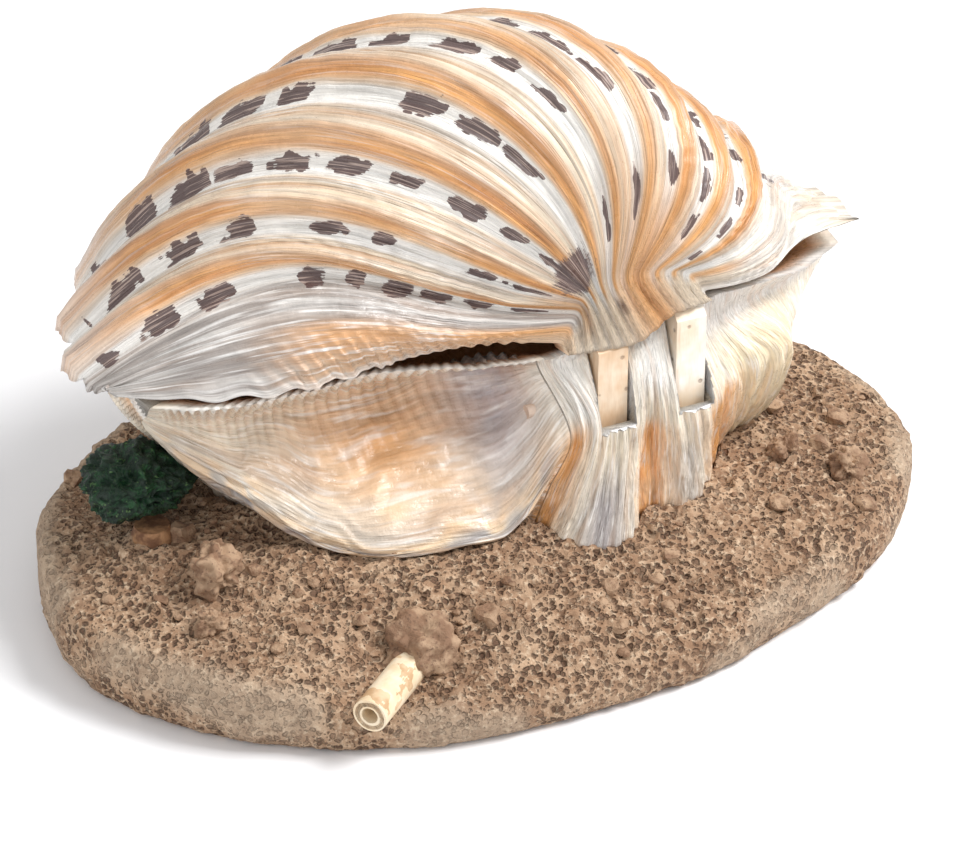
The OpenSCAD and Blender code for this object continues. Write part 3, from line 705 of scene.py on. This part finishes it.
def sand_z(x, y):
    r = np.minimum(1, oval(np.abs(x - BASE_MID[0]), np.abs(y - BASE_MID[1])))
    u = -(x - MOUTH[0]) * LINE_DIR[0] - (y - MOUTH[1]) * LINE_DIR[1]
    v = (x - MOUTH[0]) * LINE_DIR[1] - (y - MOUTH[1]) * LINE_DIR[0]
    trough = 2.6 * np.exp(-((v / 7) ** 2)) * np.clip((SPIGOT_LEN + 6 - u) / 7, 0, 1)
    e = edge_z(x, y)
    return e + (MOUND_Z - e) * (1 - r**2.2) - trough


def rim_point(a):
    r = 1 / oval(np.abs(np.cos(a)), np.abs(np.sin(a)))
    w = 1 - 0.02 * np.cos(3 * a) - 0.01 * np.sin(2 * a) + 0.004 * np.sin(7 * a) + 0.003 * np.sin(13 * a)
    return BASE_MID + (r * w)[:, None] * np.stack([np.cos(a), np.sin(a)], -1)


def bowl_sections(back_per, front_per):
    """Closed loop of sections (n, 5, 3) with each one's place c: 0..18 hinge side, then the front."""
    rows = [[*s[:4], [*s[4], float(sand_z(np.float64(s[4][0]), np.float64(s[4][1])))]] for s in HINGE_SIDE]
    c = np.linspace(0, BACK, BACK * back_per + 1)
    back = spline(rows, c)
    q = np.linspace(FRONT_SPAN, 0, int(front_per * FRONT_SPAN) + 1)
    smooth = lid_smooth(q, np.array([0.98, 0.99, 1.0]))
    ribs = np.where((q >= 1) & (q <= LAST - 1), -RIB_DEPTH * rib_shape(q), 0)
    normal = normals_of(smooth)[:, -1]
    m = smooth[:, -1] + ribs[:, None] * normal
    a = HEART + INSET * (m - HEART)
    a[:, 2] = margin_z(q) - MARGIN_GAP
    bx = FOOT_RATIO * a[:, 0]
    by = FOOT_RATIO * (a[:, 1] + 8) - 8 - 9 * (a[:, 0] / 60) ** 2
    b = np.stack([bx, by, sand_z(bx, by)], -1)
    h1 = np.stack([0.95 * a[:, 0], 0.97 * a[:, 1], a[:, 2] - 7], -1)
    h2 = np.stack([1.12 * b[:, 0], 1.08 * b[:, 1], b[:, 2] + 6], -1)
    front = bezier(np.stack([a, h1, h2, b], 1), np.linspace(0, 1, 5))
    return np.concatenate([back, front]), np.concatenate([c, BACK + (FRONT_SPAN - q) + 0.3])


def bowl_relief(C, V, P):
    """Height of the lower valve's outer surface over the plain sections, in mm."""
    back = C <= BACK
    wander = noise(surface(C * 2.0, V * 2.0), 1.0, 41)
    # frills: ribs that fan down and out from the hinge
    frill = step(C, 6.6, 7.6) * step(C, 17.5, 16.0) * step(V, 0.9, 2.0)
    fan = wave(2.1 * C + 0.25 * wander)
    fine = wave(5.4 * C + 0.5 * wander)
    h = frill * (0.34 * fan + 0.14 * fine)
    h = h - 0.9 * step(V, 1.7, 2.6) * (bump(C, 7.3, 0.45) + bump(C, 11.1, 0.5) + 0.6 * bump(C, 13.4, 0.4))
    h = h + 0.5 * step(V, 2.6, 3.8) * (bump(C, 9.0, 0.9) + bump(C, 12.3, 0.6))
    # concave side: fine ribs down from the rim, growth lines parallel to the lower edge
    side = step(C, 0.0, 1.0) * step(C, 7.2, 6.4)
    lines = ripple(4.4 * V + 0.9 * wander + 0.12 * C)
    broad = ripple(2.4 * V + 0.3 * wander + 0.1 * C)
    ribs = wave(5.2 * C - 1.6 * V)
    h = h + side * (0.22 * lines + 0.24 * broad) * step(V, 0.9, 1.8) + 0.42 * side * ribs * step(V, 1.7, 0.4)
    h = h - 0.8 * bump(C, 6.2, 0.5) * bump(V, 0.8, 0.5)
    front = 0.18 * ripple(7 * V + 0.3 * wander) + 0.25 * np.cos(2 * np.pi * 2.0 * C)
    h = h + np.where(back, 0, front)
    return h + 0.2 * fbm(P, 6.0, 2, 43) + 0.07 * fbm(P, 1.5, 2, 44)


def bowl_tone(C, V, P):
    """Soft colours of the lower valve."""
    wander = noise(surface(C * 3.0, V * 2.0), 1.0, 51)
    patch = noise(P, 9.0, 52)
    tone = filled(srgb(238, 226, 206), C)
    side = step(C, 0.0, 1.0) * step(C, 7.0, 6.6)
    tone = paint(tone, ORANGE, 1.1 * side * bump(V, 1.2, 0.55) * bump(C, 4.6, 1.6) * (0.85 + 0.4 * patch))
    tone = paint(tone, CREAM, 0.8 * side * bump(V, 0.6, 0.5) * (0.7 + 0.5 * wander))
    # painted shade in the grooves between the fine ribs of the concave side
    groove_shade = 0.5 - 0.5 * wave(5.2 * C - 1.6 * V)
    tone = paint(tone, srgb(206, 160, 122), 0.5 * side * groove_shade * step(V, 1.7, 0.6) * step(V, 0.0, 0.2))
    thread = noise(surface(C * 0.7, V * 5.0), 1.0, 53)
    bands = 0.5 + 0.5 * ripple(1.9 * V + 0.35 * wander + 0.1 * C + 0.3 * thread)
    tone = paint(tone, TAN, 0.8 * side * step(V, 1.3, 1.9) * bands)
    tone = paint(tone, ORANGE, 0.45 * side * step(V, 1.3, 1.9) * step(thread, 0.0, 0.5) * (0.6 + 0.5 * patch))
    silver = side * step(V, 1.5, 2.4) * (1 - bands) ** 1.3 * (0.95 + 0.3 * wander)
    tone = paint(tone, srgb(150, 144, 144), silver)
    tone = paint(tone, srgb(142, 130, 124), 0.5 * side * step(V, 1.0, 1.8) * step(thread, 0.12, 0.4))
    tone = paint(tone, WHITE, 0.55 * side * step(V, 2.9, 3.8) * step(thread, 0.1, -0.4))
    # painted shade: greyer in the dent near the end of the concave side
    tone = paint(tone, srgb(182, 176, 180), bump(C, 6.2, 0.65) * step(V, 2.2, 1.3) * step(V, 0.05, 0.4))
    tone = paint(tone, WHITE, 0.7 * side * step(V, 0.3, 0.05))
    tone = paint(tone, WHITE, 0.9 * bump(C, 7.9, 0.75) * step(V, 2.3, 1.7))
    low = step(V, 1.75, 2.25)
    valley = bump(C, 7.25, 0.5) * low + bump(C, 11.0, 0.55) * step(V, 2.0, 2.4) + bump(C, 13.4, 0.5) * low
    tone = paint(tone, srgb(172, 164, 162), bump(C, 9.1, 0.8) * step(V, 2.3, 3.2) * (0.95 + 0.3 * wander))
    tone = paint(tone, GREY, 0.7 * bump(C, 12.1, 0.4) * step(V, 2.2, 3.0))
    fan = step(C, 13.6, 14.1) * step(C, 17.0, 16.0) * step(V, 1.1, 1.7)
    tone = paint(tone, srgb(244, 226, 192), 0.95 * fan)
    tone = paint(tone, ORANGE, 0.6 * fan * bump(C, 14.6, 0.6) * bump(V, 2.2, 0.4) * step(patch, -0.5, 0.3))
    tone = paint(tone, ORANGE, 1.05 * valley * (0.95 + 0.2 * wander))
    wall = step(C, 12.6, 13.4) * step(C, 18.4, 17.6) * step(V, 1.4, 0.8)
    tone = paint(tone, srgb(214, 208, 204), 0.85 * wall)
    tone = paint(tone, WHITE, 0.9 * bump(C, 11.3, 1.1) * step(V, 2.0, 1.3))
    front = step(C, BACK - 0.2, BACK + 0.3)
    f = (FRONT_SPAN + 0.3 + BACK - C) % 1.0
    tone = paint(tone, ORANGE, 0.75 * front * bump(f, 0.32, 0.15) * (0.8 + 0.3 * patch) * step(V, 4.0, 2.6))
    tone = paint(tone, WHITE, 0.8 * front * np.maximum(step(f, 0.74, 0.88), step(f, 0.19, 0.09)))
    return paint(tone, GREY, 0.3 * front * step(wander, 0.0, 0.6))


def build_lower_shell(material, sections, C1):
    n = len(sections)
    rows = 110
    v = np.linspace(0, 4, rows + 1)
    outer = np.moveaxis(spline(np.moveaxis(sections, 1, 0), v), 0, 1)
    C, V = np.meshgrid(C1, v, indexing="ij")
    closed = np.concatenate([outer[-2:], outer, outer[:2]])
    normal = normals_of(closed)[2:-2]
    centre = np.array([0, -10.0, 26.0])
    flip = np.sign(((outer - centre) * normal).sum(-1).mean())
    normal = normal * flip
    relief = bowl_relief(C, V, outer)
    keep = step(V, 0.0, 0.12)
    outer = outer + (relief * (0.25 + 0.75 * keep))[..., None] * normal
    tooth = 0.26 * np.cos(2 * np.pi * 5.2 * C) * step(C, 0.6, 1.5) * step(C, 7.0, 6.0)
    tooth = tooth + 0.2 * noise(surface(C * 2.3, 0 * C), 1.0, 61) * (C < BACK)
    outer[..., 2] += tooth * step(V, 0.7, 0.0)
    # rim, then down the inside to a closed floor: row, share of the way out from the heart, height
    rim, hollow = outer[:, 0], sections[:, 1]
    levels = [(rim, 0.97, rim[:, 2] - 0.1), (rim, 0.93, rim[:, 2] - 0.6), (hollow, 0.9, hollow[:, 2]),
              (rim, 0.72, 27.0), (rim, 0.58, 23.5), (rim, 0.45, 20.0)]
    inner = []
    for row, share, z in levels:
        flat = HEART[:2] + share * (row[:, :2] - HEART[:2])
        inner.append(np.concatenate([flat, np.broadcast_to(z, n)[:, None]], 1))
    inner = np.stack(inner, 1)
    skirt = outer[:, -1:].copy()
    skirt[..., 2] -= 2.4
    skirt[..., :2] = skirt[..., :2] * 0.985
    grid = np.concatenate([skirt, outer[:, ::-1], inner], 1)
    m = grid.shape[1]
    points = np.concatenate([grid.reshape(-1, 3), [[0, -8, 11.5], [HEART[0], HEART[1], 18.5]]])
    i = np.arange(n)
    k = (i + 1) % n
    faces = quads(n, m, wrap=True).tolist()
    faces += np.stack([np.full(n, n * m), i * m, k * m], -1).tolist()
    faces += np.stack([np.full(n, n * m + 1), k * m + m - 1, i * m + m - 1], -1).tolist()
    tone = bowl_tone(C, V, outer)
    inside = np.broadcast_to(SLIT_BROWN, (n, len(levels), 3)).copy()
    inside[:, 0] = tone[:, 0]
    deep = np.broadcast_to(srgb(160, 130, 100), (n, 1, 3))
    tones = np.concatenate([deep, tone[:, ::-1], inside], 1).reshape(-1, 3)
    along_rim = (C < 7.1)[..., None]
    sway = V + 0.07 * noise(surface(C * 1.1, V * 1.3), 1.0, 55)
    flow = np.where(along_rim, surface(sway, 0.16 * C), surface(C, 0.25 * V))
    flows = np.concatenate([flow[:, -1:], flow[:, ::-1], np.repeat(flow[:, :1], len(levels), 1)], 1)
    flows = flows.reshape(-1, 3)
    # painted sheen: weight of pale highlight streaks over the outer face
    painted_sheen = np.zeros((n, m))
    painted_sheen[:, 1:rows + 2] = 0.5
    painted_sheen = painted_sheen.ravel()
    fields = {
        "tone": np.concatenate([tones, np.broadcast_to(SLIT_BROWN, (2, 3))]),
        "flow": np.concatenate([flows, np.zeros((2, 3))]),
        "painted_sheen": np.concatenate([painted_sheen, [0, 0]]),
        "spot": np.zeros(len(points)),
        "warm": np.full(len(points), 0.6),
    }
    return add_mesh("lower_shell", points, faces, fields, material)


ARM_X = (-12.0, -24.2)
ARM_T, SLOT_SIDE, SLOT_R, LIP_DROP, PIN_Y, PIN_Z = 4.6, 0.5, 6.2, 1.5, 14.0, 30.0


def cut_slots(shell, material):
    """Cuts the two arm slots out of the lower shell."""
    w = ARM_T + 2 * SLOT_SIDE
    for k, x in enumerate(ARM_X):
        ring = [(PIN_Y - SLOT_R, 60.0)]
        turns = np.linspace(math.pi, 2 * math.pi - math.asin(LIP_DROP / SLOT_R), 24)
        ring += [(PIN_Y + SLOT_R * math.cos(a), PIN_Z + SLOT_R * math.sin(a)) for a in turns]
        ring += [(PIN_Y + 30.0, PIN_Z - LIP_DROP), (PIN_Y + 30.0, 60.0)]
        n = len(ring)
        points = [(x + s * w / 2, y, z) for s in (-1, 1) for y, z in ring]
        faces = [list(range(n))[::-1], list(range(n, 2 * n))]
        faces += [[i, (i + 1) % n, n + (i + 1) % n, n + i] for i in range(n)]
        tone = np.broadcast_to(srgb(214, 184, 152), (2 * n, 3))
        flow = np.array([(s * 3 + k, z * 0.1, 0) for s in (0, 1) for y, z in ring])
        cutter = add_mesh(f"slot_{k}", points, faces,
                          {"tone": tone, "flow": flow, "painted_sheen": np.zeros(2 * n), "spot": np.zeros(2 * n),
                           "warm": np.full(2 * n, 0.5)}, material, False)
        join_cut(shell, cutter)


def join_cut(target, cutter, operation="DIFFERENCE"):
    """Applies a boolean with the cutter, then removes the cutter."""
    mod = target.modifiers.new("cut", "BOOLEAN")
    mod.object = cutter
    mod.operation = operation
    mod.solver = "EXACT"
    depsgraph = bpy.context.evaluated_depsgraph_get()
    done = bpy.data.meshes.new_from_object(target.evaluated_get(depsgraph))
    target.modifiers.clear()
    old, target.data = target.data, done
    bpy.data.meshes.remove(old)
    bpy.data.objects.remove(cutter)


# the base's side from the top edge down: share of the outline, share of the edge's height
SIDE_ROWS = ((0.975, 0.985), (0.985, 0.95), (0.993, 0.88), (0.999, 0.78), (1.003, 0.66), (1.004, 0.54),
             (1.003, 0.42), (1.0, 0.31), (0.995, 0.2), (0.987, 0.11), (0.978, 0.045), (0.968, 0.0))


def build_sand(material, sections, fine):
    """The base: polar grid from the shell's foot out to the rim, down its side and under."""
    foot = sections[:, 4, :2]
    n = len(foot)
    angle = np.arctan2(foot[:, 1] - BASE_MID[1], foot[:, 0] - BASE_MID[0])
    rim = rim_point(angle)
    shares = np.linspace(0, 1, fine)
    top = foot[:, None] + shares[None, :, None] * (rim * 0.965 - foot)[:, None]
    z = sand_z(top[..., 0], top[..., 1])
    grid = np.concatenate([top, z[..., None]], -1)
    e = z[:, -1]
    side = []
    for share, high in SIDE_ROWS:
        side.append(np.concatenate([rim * share, (high * e)[:, None]], -1))
    side = np.stack(side, 1)
    grid = np.concatenate([grid, side], 1)
    # place of each point: 0 at the shell's foot, 1 at the top edge, more down the side
    R = np.concatenate([shares, 1 + np.linspace(0.05, 0.6, side.shape[1])])[None].repeat(n, 0)
    closed = np.concatenate([grid[-2:], grid, grid[:2]])
    normal = normals_of(closed)[2:-2]
    if normal[:, : fine // 2, 2].mean() < 0:
        normal = -normal
    wide = cells(grid, 2.2, 71)
    small = cells(grid, 1.35, 75)
    lumps = fbm(grid, 6.5, 3, 72) + 0.6 * noise(grid, 14.0, 70)
    pit = np.clip(0.50 - wide, 0, 1) * 1.1 + np.clip(0.55 - small, 0, 1) * 1.2
    crumbs = step(noise(grid, 2.6, 77), 0.35, 0.8) * 0.8
    rimmed = step(R, 0.9, 1.05)
    h = 0.6 * lumps + crumbs * (1 - 0.5 * rimmed) - pit * (1 - 0.4 * rimmed) + 0.25
    bottom = step(grid[..., 2], 0.0, 1.2)
    h = h * np.where(R > 1, bottom, 1)
    grid = grid + h[..., None] * normal
    grid[..., 2] = np.maximum(grid[..., 2], 0)
    grid[:, -1, 2] = 0
    drop = grid[:, :1].copy()
    drop[..., 2] = 11.0
    pts = np.concatenate([drop, grid], 1)
    m = pts.shape[1]
    points = np.concatenate([pts.reshape(-1, 3), [[0, -8, 11.0], [0, 0, 0]]])
    i = np.arange(n)
    k = (i + 1) % n
    faces = quads(n, m, wrap=True, flip=True).tolist()
    faces += np.stack([np.full(n, n * m), k * m, i * m], -1).tolist()
    faces += np.stack([np.full(n, n * m + 1), i * m + m - 1, k * m + m - 1], -1).tolist()
    rim_field = np.concatenate([np.zeros((n, 1)), rimmed * step(noise(grid, 9.0, 79), -0.5, 0.5)], 1).ravel()
    deep = np.concatenate([np.ones((n, 1)), np.clip(pit * 0.9 - 0.15, 0, 1) * (1 - 0.6 * rimmed)], 1).ravel()
    fields = {"rim": np.append(rim_field, [0, 1]), "deep": np.append(deep, [1, 0])}
    return add_mesh("sand_bed", points, faces, fields, material)


# ---------------------------------------------------------------- small pieces
def icosphere(detail):
    """Points and faces of a unit icosphere."""
    bm = bmesh.new()
    bmesh.ops.create_icosphere(bm, subdivisions=detail, radius=1.0)
    points = np.array([v.co for v in bm.verts])
    faces = np.array([[v.index for v in f.verts] for f in bm.faces])
    bm.free()
    return points, faces


BALL_POINTS, BALL_FACES = {}, {}
for level in (2, 5, 6):
    BALL_POINTS[level], BALL_FACES[level] = icosphere(level)


def rough_ball(detail, shift, roughen, seed):
    """An icosphere with flats and lumps pushed in by noise."""
    p = BALL_POINTS[detail]
    push = 1 + roughen * fbm(p * 1.6 + shift, 1.0, 3, seed)
    push = push + 0.35 * roughen * fbm(p * 5 + shift, 1.0, 2, seed + 5)
    return p * push[:, None]


def blob(name, centre, size, seed, material, roughen=0.25):
    """A rough closed lump of the given size."""
    p = rough_ball(5, seed * 7.7, roughen, seed) * np.asarray(size, float) / 2
    return add_mesh(name, p + np.asarray(centre, float), BALL_FACES[5], None, material)


def build_crumbs(material):
    """Loose grains and bits of gravel stuck to the sand, in one mesh."""
    points, faces, start = [], [], 0
    count = np.arange(1, 131)
    pick = [np.sin(count * k) * 43758.5453 % 1.0 for k in (12.9898, 78.233, 37.719, 93.989)]
    for a, b, c, d in zip(*pick):
        angle = 2 * math.pi * a
        reach = 0.60 + 0.36 * b
        x, y = reach * rim_point(np.array([angle]))[0]
        size = 0.45 + 1.35 * c**4
        if math.hypot(x - MOUTH[0], y - MOUTH[1]) < 9:
            continue
        ball = rough_ball(2, d * 40, 0.5, int(d * 1000)) * size * (1.1, 0.9 + 0.4 * c, 0.75)
        ball = ball + (x, y, float(sand_z(np.float64(x), np.float64(y))) + 0.35 * size)
        points.append(ball)
        faces.append(BALL_FACES[2] + start)
        start += len(ball)
    return add_mesh("sand_crumbs", np.concatenate(points), np.concatenate(faces), None, material, False)


def build_tuft(material):
    """Crumpled plant: a lump of deep folds with curled leaf edges."""
    level = 6
    p, faces = BALL_POINTS[level], BALL_FACES[level]
    folds = 1 - np.abs(noise(p + 3.1, 0.42, 81)) * 2
    fine = 1 - np.abs(noise(p + 9.0, 0.2, 82)) * 2
    threads = 1 - np.abs(noise(p + 5.0, 0.09, 83)) * 2
    wide = noise(p, 0.9, 84)
    r = 0.84 + 0.15 * folds + 0.09 * fine + 0.045 * threads + 0.18 * wide
    low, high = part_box("plant_tuft")
    low, high = np.array(low) / MM, np.array(high) / MM
    mid, half = (low + high) / 2, (high - low) / 2
    p = p * r[:, None] * half * (1.02, 1.02, 1.0)
    p[:, 2] = np.maximum(p[:, 2], -half[2] * 0.8)
    return add_mesh("plant_clump", p + mid + (0, 0, 0.3), faces, None, material)


def build_spigot(material):
    """The bare end of the air line: a rough tube with a bore and a rounded mouth."""
    n = 72
    side = np.array([-math.sin(LINE_TURN), math.cos(LINE_TURN), 0.0])
    up = np.array([0, 0, 1.0])
    rows = [(6, 1.2), (0.5, 1.2), (0.12, 1.28), (0, 1.55), (0, 2.2), (0.15, 2.42), (0.6, 2.5)]
    rows += [(x, 2.5) for x in np.linspace(1.2, 16, 34)] + [(16, 1.2)]
    a = np.linspace(0, 2 * np.pi, n, endpoint=False)
    ring = np.cos(a)[:, None] * side + np.sin(a)[:, None] * up
    grid = np.stack([MOUTH - x * LINE_DIR + r * ring for x, r in rows], 1)
    rough = np.array([0.0 if (r < 1.3) else 1.0 for x, r in rows])
    push = 0.16 * fbm(grid, 2.2, 2, 91) + 0.08 * fbm(grid, 0.8, 2, 92)
    grid = grid + (push * rough)[..., None] * ring[:, None]
    faces = quads(n, len(rows), wrap=True).tolist()
    m = len(rows)
    faces += [[i * m + m - 1, ((i + 1) % n) * m + m - 1, ((i + 1) % n) * m, i * m] for i in range(n)]
    return add_mesh("spigot_end", grid.reshape(-1, 3), faces, None, material)


# ---------------------------------------------------------------- the object
shell_mat = shell_material("shell_paint", 16.0, 5.0, 0.85)
bowl_mat = shell_material("bowl_paint", 9.0, 6.0, 0.95)
sand_mat = sand_material()
arm_tan = tan_material("arm_tan", (226, 192, 156), (240, 222, 198))
arm_pale = tan_material("arm_pale", (238, 218, 192), (248, 242, 232))
stone_mat = stone_material()

upper = build_upper_shell(shell_mat)
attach(upper, "lid")
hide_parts("upper_valve")

back_per, front_per = ((26, 26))
sections, places = bowl_sections(back_per, front_per)
lower = build_lower_shell(bowl_mat, sections, places)
cut_slots(lower, bowl_mat)
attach(lower, "base")
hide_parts("lower_valve")

sand_sections, _ = bowl_sections(*(((34, 22))))
sand = build_sand(sand_mat, sand_sections, 130)
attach(sand, "base")
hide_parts("sand_base")

crumbs = build_crumbs(stone_mat)
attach(crumbs, "base")

tuft = build_tuft(plant_material())
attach(tuft, "base")
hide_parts("plant_tuft")

for key, seed in (("stone_a", 3), ("stone_b", 8), ("stone_c", 5), ("stone_d", 7)):
    low, high = (np.array(c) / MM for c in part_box(key))
    mid = (low + high) / 2
    size = (high - low) * (1.05, 1.05, 0.95)
    piece = blob(key + "_rock", (mid[0], mid[1], high[2] - 0.45 * size[2]), size, seed, stone_mat, 0.75)
    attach(piece, "base")
    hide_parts(key)

spigot = build_spigot(plastic_material("spigot_cream", (198, 162, 122), (224, 196, 160)))
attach(spigot, "base")

collar = blob("collar_lump", MOUTH - 15.5 * LINE_DIR + (0, 0, 1.0), (10.5, 10.0, 9.5), 4, stone_mat, 0.42)
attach(collar, "base")
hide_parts("spigot_collar")

for key, material in (("hinge_arm_left", arm_tan), ("hinge_arm_right", arm_pale),
                      ("hinge_pin", metal_material()),
                      ("pin_plug", plastic_material("plug_tan", (196, 174, 158), (212, 190, 172))),
                      ("air_spigot", plastic_material("line_cream", (232, 208, 172), (240, 224, 196))),
                      ("elbow_block", plastic_material("elbow_grey", (214, 210, 198), (226, 222, 212))),
                      ("riser_tube", plastic_material("riser_cream", (230, 210, 178), (238, 224, 198))),
                      ("outlet_nozzle", plastic_material("nozzle_grey", (216, 212, 200), (228, 224, 214))),
                      ("plant_peg", peg_material())):
    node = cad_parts[key]
    node.data.materials.clear()
    node.data.materials.append(material)

# ---------------------------------------------------------------- floor and light
FLOOR_HALF = 2500
corners = [(sx * FLOOR_HALF, sy * FLOOR_HALF, 0) for sx, sy in ((-1, -1), (1, -1), (1, 1), (-1, 1))]
floor = add_mesh("floor", corners, [[0, 1, 2, 3]])
floor_mat = Shader("floor_white")
floor.data.materials.append(floor_mat.finish(rgb(250, 250, 252), 0.9))

world = bpy.data.worlds.new("studio")
scene.world = world
world.use_nodes = True
world.node_tree.nodes["Background"].inputs[0].default_value = (1.0, 1.0, 1.0, 1)
world.node_tree.nodes["Background"].inputs[1].default_value = 0.62


def area_light(name, at, size, power, aim=(0, 0, 30)):
    data = bpy.data.lights.new(name, "AREA")
    data.size = size
    data.energy = power
    lamp = bpy.data.objects.new(name, data)
    scene.collection.objects.link(lamp)
    lamp.location = Vector(at) * MM
    lamp.rotation_euler = (Vector(aim) * MM - lamp.location).to_track_quat("-Z", "Y").to_euler()
    return lamp


area_light("key", (-420, 200, 620), 0.35, 6.0)
area_light("fill", (520, 380, 420), 0.5, 1.0)
